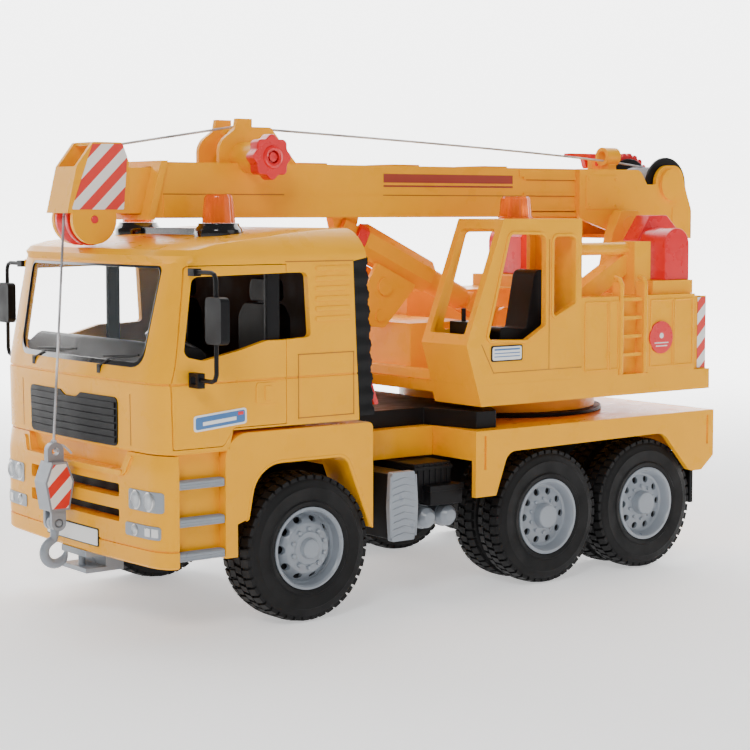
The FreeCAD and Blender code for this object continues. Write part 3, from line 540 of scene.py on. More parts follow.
def twisted(bm, line, radius, pitch, strands=3):
    """Laid strands round a line, all in metres."""
    line = walked(line, pitch / 10)
    side = None
    for strand in range(strands):
        points, travelled = [], 0
        for index, point in enumerate(line):
            ahead = line[min(index + 1, len(line) - 1)] - line[max(index - 1, 0)]
            ahead.normalize()
            side = side or Vector((0, 1, 0))
            side = (side - ahead * side.dot(ahead)).normalized()
            other = ahead.cross(side)
            angle = 2 * math.pi * (travelled / pitch + strand / strands)
            points.append(point + radius * 0.5 * (side * math.cos(angle) + other * math.sin(angle)))
            travelled += pitch / 10
        tube(bm, points, radius * 0.52, 6)


ROPE_REAR = [(10.1, 0, 250), (287, 0, 239), (321.3, 0, 232)]
ROPE_FRONT = [(9.9, 0, 250), (-60, 0, 239.2), (-84, 0, 235.4), (-90.9, 0, 203.2)]
ROPE_FALL = [(-90.9, 0, 202.8), (-98, 0, 90.3)]


def cord(name, route, node):
    line = spline(route)
    bm = bmesh.new()
    twisted(bm, line, 0.0007, 0.0042)
    bmesh.ops.recalc_face_normals(bm, faces=bm.faces)
    mesh = meshed(name, bm)
    bm.free()
    mesh.shade_smooth()
    mesh.materials.append(MATERIALS["grey_cord"])
    obj = linked(name, mesh)
    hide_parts(node)
    return obj


def cords():
    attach(cord("winch_cord_rear", ROPE_REAR, "rope_rear"), "boom")
    front = cord("winch_cord_front", ROPE_FRONT, "rope_front")
    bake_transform(front)
    fall = cord("winch_cord_fall", ROPE_FALL, "rope_fall")
    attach(fall, "fall")
    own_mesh(fall)


# -------- wheels

LUGS = 44


def tread_block(start, end, row, rows):
    """One slanting block of the tread at the top of the tyre; edge rows slope outwards."""
    block = bmesh.new()
    pitch = (end - start - 3.0) / rows
    edge = row in (0, rows - 1)
    inner, size = (33.6, 1.9) if edge else (35.5, 1.75)
    y0 = start + 1.5 + row * pitch
    low_y, high_y = y0 + 0.35, y0 + pitch - 0.35
    outer_side = low_y if row == 0 else high_y
    brick(block, (-size, size), (low_y, high_y), (inner, WHEEL_RADIUS - 0.05))
    for vert in block.verts:
        if edge and vert.co.z > 36 and abs(vert.co.y - outer_side) < 0.01:
            vert.co.z -= 0.9
        vert.co.x += (vert.co.y - start - (end - start) / 2) * 0.12 * (1 if row % 2 else -1)
    return block


def tyre_form(width, twin):
    """One outer tyre, its outer face at y 0 and its axis at the origin."""
    bm = bmesh.new()
    rings = [(0, width)] if not twin else [(0, width / 2 - 1.0), (width / 2 + 1.0, width)]
    for start, end in rings:
        profile = [(20.8, start + 1.2), (21.6, start + 0.5), (23.5, start + 0.2),
            (24.2, start + 0.9), (30.5, start + 0.3), (31.2, start + 0.9),
            (33.2, start + 1.1), (34.6, start + 1.8), (35.6, start + 3.2), (36.1, start + 5)]
        back = [(r, start + end - y) for r, y in reversed(profile)]
        lathe(bm, "y", (0, 0, 0), profile + back, 96)
        rows = 3 if twin else 4
        for row in range(rows):
            block = tread_block(start, end, row, rows)
            for lug in range(LUGS):
                angle = 2 * math.pi * (lug + 0.5 * (row % 2)) / LUGS
                copied(bm, block, Matrix.Rotation(angle, 4, "Y"))
            block.free()
    return bm


def hole_ring(count, radius, form):
    """Cutters spread round the axis, each built about (radius, 0)."""
    bm = bmesh.new()
    for index in range(count):
        angle = 2 * math.pi * index / count
        copied(bm, form, Matrix.Rotation(angle, 4, "Y") @ Matrix.Translation((radius, 0, 0)))
    form.free()
    return bm


def nuts(bm, count, radius, low, high, size=1.25):
    for index in range(count):
        angle = 2 * math.pi * (index + 0.5) / count
        lathe(bm, "y", spot("y", *polar(radius, angle), 0), [
            (0, low), (size * 0.75, low), (size, low + 0.4), (size, high), (0, high)], 6,
            close=False)


def front_rim_form():
    """A domed rim: nuts round a hub cap and a ring of oval holes near its edge."""
    bm = bmesh.new()
    lathe(bm, "y", (0, 0, 0), [
        (2.9, 1.0), (8.0, 1.0), (8.8, 1.6), (12.0, 2.0), (13.0, 2.6), (16.0, 6.2), (17.4, 7.0),
        (18.3, 6.0), (18.8, 1.2), (19.6, 0.2), (20.8, 0.4), (20.8, 24.0), (19.4, 24.0),
        (18.6, 9.5), (16.0, 8.6), (12.5, 5.0), (8.0, 4.5), (7.0, 18.0), (2.9, 18.0)], 80)
    hole = bmesh.new()
    lathe(hole, "y", (0, 0, 0), [(0, 0), (1.5, 0), (1.5, 12), (0, 12)], 20, close=False)
    hole.transform(Matrix.Diagonal((1.0, 1, 1.45, 1)))
    bm = carved(bm, hole_ring(10, 14.7, hole))
    lathe(bm, "y", (0, 0, 0), [(0, -1.4), (3.6, -1.4), (4.6, -1.0), (5.2, 0.2), (5.4, 1.2),
        (0, 1.2)], 48, close=False)
    nuts(bm, 10, 9.9, 0.2, 2.4)
    return bm


def rear_rim_form():
    """A dished rim: round holes in the web, nuts, and a hub that stands out."""
    bm = bmesh.new()
    lathe(bm, "y", (0, 0, 0), [
        (2.9, 4.4), (8.8, 4.4), (10.0, 4.8), (12.4, 5.2), (15.8, 5.8), (16.9, 5.2),
        (17.8, 3.0), (18.4, 1.2), (19.2, 0.2), (20.8, 0.4), (20.8, 38.0), (19.4, 38.0),
        (18.4, 10.0), (12.0, 8.2), (8.0, 8.2), (7.0, 34.0), (2.9, 34.0)], 80)
    hole = bmesh.new()
    lathe(hole, "y", (0, 0, 0), [(0, 1), (1.95, 1), (1.95, 12), (0, 12)], 20, close=False)
    bm = carved(bm, hole_ring(10, 13.7, hole))
    lathe(bm, "y", (0, 0, 0), [(0, -0.1), (6.0, -0.1), (6.5, 0.4), (7.0, 4.6), (0, 4.6)], 48,
        close=False)
    nuts(bm, 10, 9.4, 3.6, 5.2, 1.05)
    return bm


def wheels():
    for name, station, width, rim in (("front", 0, 26, front_rim_form),
            ("middle", 161.3, 40, rear_rim_form), ("rear", 237.7, 40, rear_rim_form)):
        body = name + "_wheels"
        for kind, form, bevel in (("tyres", tyre_form(width, name != "front"), 0),
                ("rims", rim(), 0.18)):
            form.transform(Matrix.Translation((station, SIDE, WHEEL_RADIUS)))
            flip(form)
            stand_in(f"{name}_{kind}", form, bevel)
        soften(name + "_axle", 0)
        # Black discs behind the rims' holes paint the shade seen through them.
        hole_shade = bmesh.new()
        lathe(hole_shade, "y", (station, SIDE, WHEEL_RADIUS), rect((11.4, 17.2), (7.2, 8.0)), 48)
        flip(hole_shade)
        finished(name + "_rim_hole_shade", hole_shade, "black_plastic", body)


# -------- curved nose of the truck

CROWN = 2.5
# Each level: height, front, rear, half width, where the corner starts, how deep it is.
CAB = [(90.3, -87.4, 31, 83.3, 62, 9), (91.2, -88, 31, 84, 62, 9.5),
    (123.2, -88.5, 29.6, 84, 62, 9.5), (123.5, -87.9, 29.6, 83.4, 62, 9.5),
    (124.1, -87.9, 29.5, 83.4, 62, 9.5), (124.4, -88.2, 29.5, 84, 62, 9),
    (132, -86.2, 29, 84, 63, 7), (180.6, -76.5, 26.7, 84, 62, 7),
    (182.2, -78.6, 35, 84, 57, 12), (184.4, -81.3, 35, 83.7, 54, 16),
    (187.2, -79, 35, 82.2, 53, 16), (189.6, -70, 35, 80.2, 52, 16),
    (192.3, -45, 35, 77.4, 50, 16), (194.6, -20, 34.6, 74.4, 48, 16),
    (196.2, 0, 34, 71.6, 46, 16), (197, 12, 33, 69.5, 45, 16)]
CAB_ROOM = [(104, -84.6, 27, 80.4, 60, 9), (124, -84.9, 25.7, 80.4, 60, 9),
    (132, -82.8, 25.2, 80.4, 61, 7), (179.2, -73.2, 23, 80.4, 60, 7),
    (184, -74.5, 23, 79.5, 55, 12), (188.5, -62, 23, 77, 52, 14),
    (193, -8, 23, 70, 50, 14)]
BUMPER = [(35.5, -87, -76, 82.6, 66, 7), (36.6, -88.2, -76, 84, 66, 8.5),
    (43.7, -88.3, -76, 84, 66, 8.5), (43.9, -87.6, -76, 83.4, 66, 8.5),
    (44.5, -87.6, -76, 83.4, 66, 8.5), (44.7, -88.3, -76, 84, 66, 8.5),
    (79, -88.3, -76, 84, 66, 8.5), (85, -87.6, -76, 84, 66, 8.5),
    (89.7, -86.8, -76, 83.6, 66, 8.5)]


def level(front, rear, half, start, depth):
    """One level seen from above, from the left rear round the nose to the right rear."""
    side = [(rear, -half)]
    for step in range(7):
        turn = math.radians(90 - 15 * step)
        side.append((front + CROWN + depth * (1 - math.cos(turn)),
            -start - (half - start) * math.sin(turn)))
    nose = [(front + CROWN * (part / 6) ** 2, start * part / 6) for part in range(-5, 6)]
    return side + nose + [(x, -y) for x, y in side[::-1]]


def loft(bm, levels, grow=0.0):
    """A closed form through levels, grown sideways and forwards by grow."""
    rings = [[bm.verts.new((x, y, z)) for x, y in level(
        front - grow, rear + grow, half + grow, start, depth)]
        for z, front, rear, half, start, depth in levels]
    skin(bm, rings)


def nose_x(levels, y, z):
    """Where the nose is at a point across it."""
    low, high = next((a, b) for a, b in zip(levels, levels[1:]) if b[0] >= z)
    part = (z - low[0]) / (high[0] - low[0])
    front, _, half, start, depth = (a + (b - a) * part for a, b in zip(low[1:], high[1:]))
    if abs(y) <= start:
        return front + CROWN * (y / start) ** 2
    across = min(1, (abs(y) - start) / (half - start))
    return front + CROWN + depth * (1 - math.sqrt(1 - across * across))


def nose_plate(bm, levels, outline, out, back, columns=20):
    """A plate that follows the nose: an outline across it, from out in front to back behind."""
    points = rounded(outline)
    low, high = min(p[0] for p in points) + 0.01, max(p[0] for p in points) - 0.01
    rings = []
    for column in range(columns + 1):
        y = low + (high - low) * (0.5 - 0.5 * math.cos(math.pi * column / columns))
        heights = []
        for first, second in zip(points, points[1:] + points[:1]):
            if min(first[0], second[0]) <= y <= max(first[0], second[0]) and first[0] != second[0]:
                part = (y - first[0]) / (second[0] - first[0])
                heights.append(first[1] + (second[1] - first[1]) * part)
        z0, z1 = min(heights), max(heights)
        rings.append([bm.verts.new((nose_x(levels, y, z) + shift, y, z)) for z, shift in
            ((z0, -out), (z1, -out), (z1, back), (z0, back))])
    skin(bm, rings)


def side_line(bm, points, y, width=0.5, depth=0.14):
    """A thin line along points on a flat side, standing a hair off it."""
    for (ax, az), (bx, bz) in zip(points, points[1:]):
        run = Vector((bx - ax, bz - az)).normalized() * width / 2
        across = Vector((-run.y, run.x))
        a, b = Vector((ax, az)) - run, Vector((bx, bz)) + run
        slab(bm, "y", [a + across, b + across, b - across, a - across], y - depth, y + 0.3)


def box_line(bm, x, z, y, width=0.5):
    side_line(bm, [(x[0], z[0]), (x[1], z[0]), (x[1], z[1]), (x[0], z[1]), (x[0], z[0])], y, width)


def grown(outline, by):
    """A convex outline moved outwards all round."""
    middle = sum((Vector(p[:2]) for p in outline), Vector((0, 0))) / len(outline)
    lines = []
    for first, second in zip(outline, outline[1:] + outline[:1]):
        run = (Vector(second[:2]) - Vector(first[:2])).normalized()
        away = Vector((run.y, -run.x))
        if away.dot(Vector(first[:2]) - middle) < 0:
            away = -away
        lines.append((Vector(first[:2]) + away * by, run))
    out = []
    for index, point in enumerate(outline):
        (a, run_a), (b, run_b) = lines[index - 1], lines[index]
        t = (b - a).cross(run_b) / run_a.cross(run_b)
        corner = a + run_a * t
        out.append((corner.x, corner.y, (point[2] if len(point) > 2 else 0.3) + max(by, 0)))
    return out


def frame_of(axis, outline, by, low, high):
    """A flat rim round an opening."""
    bm, hole = bmesh.new(), bmesh.new()
    slab(bm, axis, grown(outline, by), low, high)
    slab(hole, axis, outline, low - 1, high + 1)
    return carved(bm, hole)


# -------- truck cab

SCREEN = [(-63.5, 131, 8), (63.5, 131, 8), (67, 179.5, 3), (-67, 179.5, 3)]
DOOR = [(-78.5, 93), (-79.3, 124), (-77.4, 133), (-70.6, 179.5, 2), (-14.5, 179.5),
    (-14.5, 101.5), (-45, 101.5, 3), (-51, 93, 3)]
DOOR_HOLE = [(-78.9, 92.6), (-79.7, 124), (-77.8, 133), (-71, 179.9, 2), (-14.1, 179.9),
    (-14.1, 101.1), (-45, 101.1, 3), (-51, 92.6, 3)]
LABEL = [("edge", "label_white", 84.45, [(-68, 100.6, 1.5), (-38, 103.2, 1.5), (-38, 111, 1.5),
    (-68, 108.4, 1.5)]),
    ("field", "label_blue", 84.52, [(-67, 101.6, 1), (-39, 104.1, 1), (-39, 110, 1),
    (-67, 107.5, 1)]),
    ("bar", "label_white", 84.58, [(-63, 103.5), (-44, 105.2), (-44, 107), (-63, 105.3)]),
    ("corner", "red_plastic", 84.6, [(-43, 107.4), (-40, 107.7), (-40, 109.2), (-43, 109)])]
PANE = [(-68.6, 174.5, 4), (-73.4, 137, 4), (-62, 134.5, 5), (-40, 139, 12), (-26, 142.7, 4),
    (-12, 142.7), (-12, 175.5)]


def truck_cab():
    bm, room, holes, panes = blank(4)
    loft(bm, CAB)
    loft(room, CAB_ROOM)
    slab(holes, "x", SCREEN, -95, -66)
    slab(holes, "y", [(-50.5, 80), (-45.5, 100.2), (45, 100.2), (45, 80)], -90, 90)
    for side in (-1, 1):
        slab(holes, "y", DOOR_HOLE, side * 88, side * 78)
        slab(panes, "y", [(-14.6, 175.5), (-14.6, 142.7), (0.5, 143.5, 2), (-1.5, 175.5, 3)],
            side * 88, side * 76)
    bm = carved(carved(carved(bm, holes), panes), room)
    stand_in("cab_shell", bm, 0.35)
    fins = bmesh.new()
    for step in range(6):
        z = 151 + step * 5
        slab(fins, "y", [(3.5, z), (24.5, z + 0.2), (24.5, z + 2.6), (3.5, z + 2.4)], -84.55, -83.8)
    for side in ((-82, -79.5), (79.5, 82)):
        slab(fins, "x", rect(side, (181.8, 183.2)), -60, 30)
    flip(fins)
    finished("cab_fins", fins, "yellow_plastic", bevel=0.35)
    # Brown lines paint the shade in the panel grooves of the cab's side, roof edge and front.
    lines = bmesh.new()
    box_line(lines, (-7, 27), (103.5, 135), -84)
    side_line(lines, [(-14.5, 180.9), (26.5, 180.9)], -84)
    flip(lines)
    for y in (-56, 56):
        nose_plate(lines, CAB, rect((y - 0.3, y + 0.3), (93, 118)), 0.1, 0.3, 1)
    finished("cab_painted_shade_lines", lines, "painted_shade_line")


def cab_inside():
    """Dashboard, high-backed seats, door pillars, steering wheel with a painted sheen and a dark
    sheet of painted shade in the cab.
    """
    bm, wheel, painted_shade_sheet = blank(3)
    slab(bm, "y", [(-80, 104), (-80, 131, 3), (-67, 141.4, 6), (-56, 139.4, 4), (-50, 124, 3),
        (-56, 104)], -74, 74)
    slab(bm, "y", [(-81, 128, 2), (-74, 135.6, 2), (-68, 136, 2), (-66, 128)], -58, 58)
    brick(bm, (-60, 22), (-78, 78), (104, 106))
    for side in (-1, 1):
        y = side * 42
        slab(bm, "y", [(-38, 104), (-38, 116, 4), (-10, 114, 4), (-4, 104)], y - 19, y + 19)
        slab(bm, "x", [(y - 18, 112), (y + 18, 112), (y + 17.5, 152, 6), (y + 12, 158.6, 5),
            (y - 12, 158.6, 5), (y - 17.5, 152, 6)], -3.5, 5.5)
        slab(bm, "x", [(y - 10.5, 159.4, 3), (y + 10.5, 159.4, 3), (y + 9.5, 171.4, 4),
            (y - 9.5, 171.4, 4)], -1.5, 6.5)
        brick(bm, (-0.5, 4.5), (y - 4, y + 4), (156, 162))
        brick(bm, (-23, -15.2), ordered(side, 80.1, 77), (104, 180))
    stand_in("cab_interior", bm, 0.9)
    tube(wheel, [(*polar(15.2, 2 * math.pi * step / 48), 0) for step in range(49)], 1.5, 10)
    for turn in (0.3, 2.4, 4.5):
        tube(wheel, [(0, 0, -0.6), (*polar(14.5, turn), 0)], 1.1, 8)
    lathe(wheel, "z", (0, 0, 0), [(0, -2), (4, -2), (4, 0.4), (0, 1)], 24, False)
    tube(wheel, [(0, 0, -1), (0, 0, -17)], 1.8, 10)
    wheel.transform(Matrix.Translation((-51.5, -42, 138.6)) @ Matrix.Rotation(math.radians(27), 4,
        "Y"))
    # The wheel's black is lifted to dark grey, a painted sheen.
    finished("steering_wheel", wheel, "painted_sheen_black")
    # A dark brown sheet over the cab's rear wall and under its roof is painted shade.
    brick(painted_shade_sheet, (21.4, 22.2), (-76, 76), (106.5, 179))
    slab(painted_shade_sheet, "z", [(-66, -70), (20, -76), (20, 76), (-66, 70)], 180.2, 180.8)
    finished("cab_painted_shade_sheet", painted_shade_sheet, "painted_shade_plastic")


def windscreen():
    """Clear glass in a black seal with two wipers."""
    glass, seal, hole, wipers = blank(4)
    inner = [(-62.4, 133.2, 8), (62.4, 133.2, 8), (65.9, 178.2, 3), (-65.9, 178.2, 3)]
    nose_plate(glass, CAB, grown(inner, 0.6), -0.9, 1.9, 28)
    stand_in("windshield", glass)
    nose_plate(seal, CAB, [(-63.3, 130.6, 9), (63.3, 130.6, 9), (66.8, 179.6, 4),
        (-66.8, 179.6, 4)], 0.1, 1.2, 36)
    slab(hole, "x", inner, -95, -60)
    finished("screen_seal", carved(seal, hole), "gloss_black", bevel=0.3)
    for foot, tip in ((43, 2), (-27, -57)):
        x = nose_x(CAB, foot, 129)
        brick(wipers, (x - 0.9, x + 1), (foot - 1.5, foot + 1.5), (126.2, 130.5))
        arm = [(foot, 129.5), (foot + (tip - foot) * 0.3, 134), (tip, 136.2)]
        tube(wipers, [(nose_x(CAB, y, z) - 0.8, y, z) for y, z in arm], 0.45, 8)
        blade = [(foot + (tip - foot) * 0.1, 134.8), (tip + (tip - foot) * 0.1, 136.8)]
        tube(wipers, [(nose_x(CAB, y, z) - 0.6, y, z) for y, z in blade], 0.55, 8)
    finished("wipers", wipers, "black_plastic")


def grille():
    bm = bmesh.new()
    top = 115.5
    nose_plate(bm, CAB, [(-45, 91.6, 3), (45, 91.6, 3), (45.5, top, 3), (9, top, 1),
        (6, top - 3, 1), (-6, top - 3, 1), (-9, top, 1), (-45.5, top, 3)], 0.5, 2, 40)
    for step in range(6):
        z = 93 + step * 3.45
        nose_plate(bm, CAB, [(-43.5, z), (43.5, z), (43.8, z + 2.7), (-43.8, z + 2.7)], 1.15, 0.5,
            24)
    stand_in("grille", bm, 0.25)


def bumper():
    """Bumper with its tray lip, air slots darkened with painted shade and a blank plate."""
    bm, holes, dark, plate = blank(4)
    loft(bm, BUMPER)
    for z in ((67, 73.5), (55, 61)):
        slab(holes, "x", rect((-46, 46), z, 1), -95, -79)
    slab(holes, "x", [(-47, 80.5, 3), (47, 80.5, 3), (54, 95), (-54, 95)], -95, -82.5)
    bm = carved(bm, holes)
    nose_plate(bm, BUMPER, [(-49, 77.6, 1.6), (49, 77.6, 1.6), (50.5, 80.4, 0.8),
        (-50.5, 80.4, 0.8)], 1.4, 2.5)
    for side in (-1, 1):
        nose_plate(bm, BUMPER, [(side * 49, 78), (side * 52, 78.2), (side * 56.5, 87.8),
            (side * 53.5, 87.8)], 1.0, 2.5, 4)
        brick(bm, (-76.4, -50), ordered(side, 78, 62), (38, 89.7))
    stand_in("front_bumper", bm, 0.45)
    # Black sheets at the bottom of the air slots paint the shade in them; the last plate is a dark
    # rim round the blank plate.
    for z in ((66.9, 73.6), (54.9, 61.1)):
        brick(dark, (-79.6, -78.8), (-46.2, 46.2), z)
    nose_plate(dark, BUMPER, rect((-27, 27), (39.6, 48.8), 0.8), 0.35, 0.5)
    finished("bumper_slot_shade_and_plate_rim", dark, "tyre_rubber")
    nose_plate(plate, BUMPER, rect((-26.3, 26.3), (40.2, 48.2), 0.6), 0.6, 0.2)
    finished("blank_plate", plate, "label_white")


def lamps():
    """Silver clusters with two round lenses above and a fog lamp with one below."""
    shell, rings, glass = blank(3)
    for side in (-1, 1):
        for y, z in (((55, 80.5), (62.5, 72.5)), ((52, 79), (49.5, 56))):
            nose_plate(shell, BUMPER, rect((side * y[0], side * y[1]), z, 1.4), 0.5, 2.5)
        for y, z, radius in ((61, 67.5, 4.2), (71.5, 67.5, 4.2), (60, 52.8, 2.4)):
            centre = (nose_x(BUMPER, y, z), side * y, z)
            lathe(rings, "x", centre, [(radius, -0.9), (radius + 0.5, -0.6), (radius + 0.5, 1),
                (radius - 0.6, 1), (radius - 0.6, -0.5)], 40)
            lathe(rings, "x", centre, [(0, -0.6), (radius * 0.55, -0.55), (radius * 0.6, 1),
                (0, 1)], 32, False)
            lathe(glass, "x", centre, [(0, -1.5), (radius * 0.6, -1.25), (radius, -0.7),
                (radius, 0.2), (0, 0.2)], 40, False)
        for y in (69, 74):
            nose_plate(rings, BUMPER, rect((side * y, side * (y + 4)), (50.8, 54.8)), 0.8, 0.2, 3)
    stand_in("headlights", shell, 0.4)
    finished("lamp_rings", rings, "steel")
    finished("lamp_lenses", glass, "lamp_glass")


def steps_and_fenders():
    bm = from_node("step_treads")
    soft_edges(bm, 0.5)
    ribs = bmesh.new()
    for z in (39, 55.5, 73.5):
        for rise in (0.7, 2.0, 3.3):
            tube(ribs, [(-75.6, -83.9, z + rise), (-50.8, -83.9, z + rise)], 0.32, 6)
        for y in (-83, -81.6, -80.2):
            tube(ribs, [(-75.6, y, z + 4), (-50.8, y, z + 4)], 0.3, 6)
    flip(ribs)
    joined(bm, ribs)
    stand_in("step_treads", bm)
    soften("front_fenders", 1.1)
    lip = bmesh.new()
    arch = rounded([(-43.5, 55), (-37.2, 56, 1), (-32, 83, 18), (23, 83, 8), (38.6, 45)], 9)[1:]
    tube(lip, [(p[0], -83.2, p[1]) for p in arch], 1.15, 10)
    flip(lip)
    finished("fender_lips", lip, "yellow_plastic")


def doors():
    for side, name in ((-1, "left"), (1, "right")):
        bm, form, pane, trim = blank(4)
        slab(bm, "y", DOOR, side * 86, side * 80.6)
        loft(form, CAB, 0.12)
        bm = carved(bm, form, "INTERSECT")
        slab(pane, "y", PANE, side * 90, side * 75)
        bm = carved(bm, pane)
        stand_in(f"door_{name}", bm, 0.35)
        slab(trim, "y", rect((-32.5, -19.5), (112, 122.4), 1.5), side * 84.7, side * 83.9)
        slab(trim, "y", rect((-27.6, -23.4), (113.6, 120.8), 0.8), side * 85.3, side * 84)
        for z in (124, 175.5):
            brick(trim, (-70.4, -66), ordered(side, 83.2, 84.2), (z, z + 4))
        finished(f"door_{name}_handle", trim, "yellow_plastic", f"{name}_door", bevel=0.35)
        for label, colour, out, outline in LABEL:
            plate = bmesh.new()
            slab(plate, "y", outline, side * out, side * 84)
            finished(f"door_{name}_label_{label}", plate, colour, f"{name}_door")


def mirrors():
    for side, name in ((-1, "left"), (1, "right")):
        bm, hole, plate, glass = blank(4)
        path = [(86, 177.1), (103, 177.1), (105.6, 176.2), (106.9, 173.6), (106.9, 129.8),
            (105.6, 127.2), (103, 126.3), (91, 126.3)]
        tube(bm, [(-69.5, side * y, z) for y, z in path], 1.15, 12)
        brick(bm, (-71.6, -67.4), ordered(side, 85.3, 91), (175.2, 178.8))
        brick(plate, (-71.4, -67.6), ordered(side, 85.3, 94), (122.4, 129.6))
        brick(hole, (-75, -65), ordered(side, 87.2, 91.4), (124.2, 127.8))
        joined(bm, carved(plate, hole))
        slab(bm, "x", rect((side * 101, side * 115), (144, 166), 2.6), -72, -67.2)
        stand_in(f"mirror_{name}", bm, 0.45)
        slab(glass, "x", rect((side * 102.2, side * 113.8), (145.2, 164.8), 2), -67.3, -66.9)
        finished(f"mirror_{name}_glass", glass, "steel", f"{name}_mirror")


def air_intakes():
    """Black concertina ducts down the cab's rear corners."""
    bm = bmesh.new()
    rings = []
    count = 66
    for step in range(count + 1):
        part = step / count
        z = 102 + 81 * part
        front, rear = 31 - 4.4 * part, 40 - 4.5 * part
        wave = 0.45 * math.sin(2 * math.pi * z / 8.5) + (0.3 if step % 2 else 0)
        rings.append([bm.verts.new(co) for co in (
            (front, -66, z), (front, -83.4 - wave * 0.6, z), (rear + wave, -83.4 - wave * 0.6, z),
            (rear + wave, -66, z))])
    skin(bm, rings)
    flip(bm)
    stand_in("air_intake", bm)


def fluted(bm, centre, profile, count, depth=0.022):
    """A turned lens with fine flutes down its side."""
    part = bmesh.new()
    lathe(part, "z", (0, 0, 0), profile, count * 4, False)
    for vert in part.verts:
        turn = math.atan2(vert.co.y, vert.co.x)
        scale = 1 + depth * math.cos(count * turn)
        vert.co.x *= scale
        vert.co.y *= scale
    copied(bm, part, Matrix.Translation(centre))
    part.free()


def beacons():
    base, lens, core = blank(3)
    lathe(base, "z", (-25, -40, 0), [(0, 188), (12.2, 188), (12.6, 194.6), (12.2, 196.4),
        (10.6, 198.2), (10.2, 199.5), (0, 199.5)], 56, False)
    flip(base)
    slab(base, "x", [(-40, 188, 1), (40, 188, 1), (40, 197, 1.5), (-40, 197, 1.5)], -30, -20)
    stand_in("beacon_bases", base, 0.3, "gloss_black")
    for y in (-40, 40):
        fluted(lens, (-25, y, 199.6), [(0, 0), (8.3, 0), (8.2, 1.4), (7.2, 12.6), (6, 14.4),
            (0, 14.6)], 18)
        lathe(core, "z", (-25, y, 199.6), [(0, 0.4), (3, 0.4), (2.6, 8.5), (0, 9)], 20, False)
    stand_in("beacon_lenses", lens)
    finished("beacon_cores", core, "steel")
    lens, core = blank(2)
    fluted(lens, (151.5, -66, 201.4), [(0, 0), (9.4, 0), (9.4, 1), (8.8, 1.3), (8, 10.6),
        (7, 12), (0, 12.2)], 18)
    lathe(core, "z", (151.5, -66, 201.4), [(0, 0.4), (3, 0.4), (2.6, 7.5), (0, 8)], 20, False)
    stand_in("crane_beacon", lens)
    finished("crane_beacon_core", core, "steel", CRANE)


# -------- crane

PANES = [[(116.2, 137, 2), (144, 136, 3), (157.5, 143.4, 2), (157.5, 192.6, 4), (132, 193, 3)],
    [(163.6, 147.6, 1.5), (179.7, 154.8, 1.5), (179.7, 191.6, 3), (163.6, 191.6, 3)]]


def crane_cab():
    soften("crane_cab", 0.8)
    bm = bmesh.new()
    for pane in PANES:
        joined(bm, frame_of("y", pane, 1.7, -84.8, -83.6))
    finished("crane_window_rims", bm, "yellow_plastic", CRANE, bevel=0.4)
    # Brown lines paint the shade in the crane cab's door and panel grooves.
    lines = bmesh.new()
    side_line(lines, [(160.6, 119), (160.6, 190)], -84, 0.4)
    side_line(lines, [(112, 134.5), (120.5, 119), (185, 119)], -84, 0.4)
    finished("crane_cab_painted_shade_lines", lines, "painted_shade_line", CRANE)
    for label, colour, by, out in (("edge", "black_plastic", 0, 84.5),
            ("field", "label_white", -0.7, 84.6)):
        plate = bmesh.new()
        slab(plate, "y", grown(rect((118.6, 140.8), (125, 133.6), 1.2), by), -out, SIDE)
        finished(f"placard_{label}", plate, colour, CRANE)
    bars = bmesh.new()
    for z, high in ((131, 0.9), (129.2, 0.5), (127.4, 0.5)):
        brick(bars, (120.6, 138.8), (-84.68, -84.5), (z, z + high))
    finished("placard_bars", bars, "label_blue", CRANE)
    soften("crane_seat", 1.6)


def housings():
    """Deck boxes with sunk panels, the ladder's rails, a round label and rear warning strips."""
    soften("engine_housing", 0.7)
    soften("right_housing", 0.7)
    bm, label, marks, post, strip = blank(5)
    for panel in ((188.5, 205), (207.5, 213), (240, 257), (259.5, 273.5)):
        joined(bm, frame_of("y", rect(panel, (117, 154)), 1.1, -84.6, -83.8))
    for x in (215.8, 234.8):
        tube(bm, [(x, -84, 113.5), (x, -84.2, 164), (x, -82.5, 167), (x, -79, 168)], 1.5, 10)
    finished("housing_frames", bm, "yellow_plastic", CRANE, bevel=0.3)
    lathe(label, "y", (247.5, 0, 133), [(0, -85), (9.3, -85), (9.3, -84), (0, -84)], 48, False)
    finished("round_label", label, "red_plastic", CRANE)
    lathe(marks, "y", (247.5, 0, 134), [(0, -85.1), (1.6, -85.1), (1.6, -84.5), (0, -84.5)], 24,
        False)
    for z, half in ((129.6, 5.6), (127.8, 4.6)):
        brick(marks, (247.5 - half, 247.5 + half), (-85.1, -84.5), (z, z + 0.6))
    finished("round_label_marks", marks, "label_white", CRANE)
    for side in (-1, 1):
        brick(post, (281, 288.8), ordered(side, 81, 79), (112.8, 155.8))
        brick(strip, (281.4, 288.4), ordered(side, 81.2, 80.8), (113.5, 155))
    finished("rear_posts", post, "yellow_plastic", CRANE, bevel=0.3)
    finished("rear_strips", strip, "warning_stripes", CRANE)


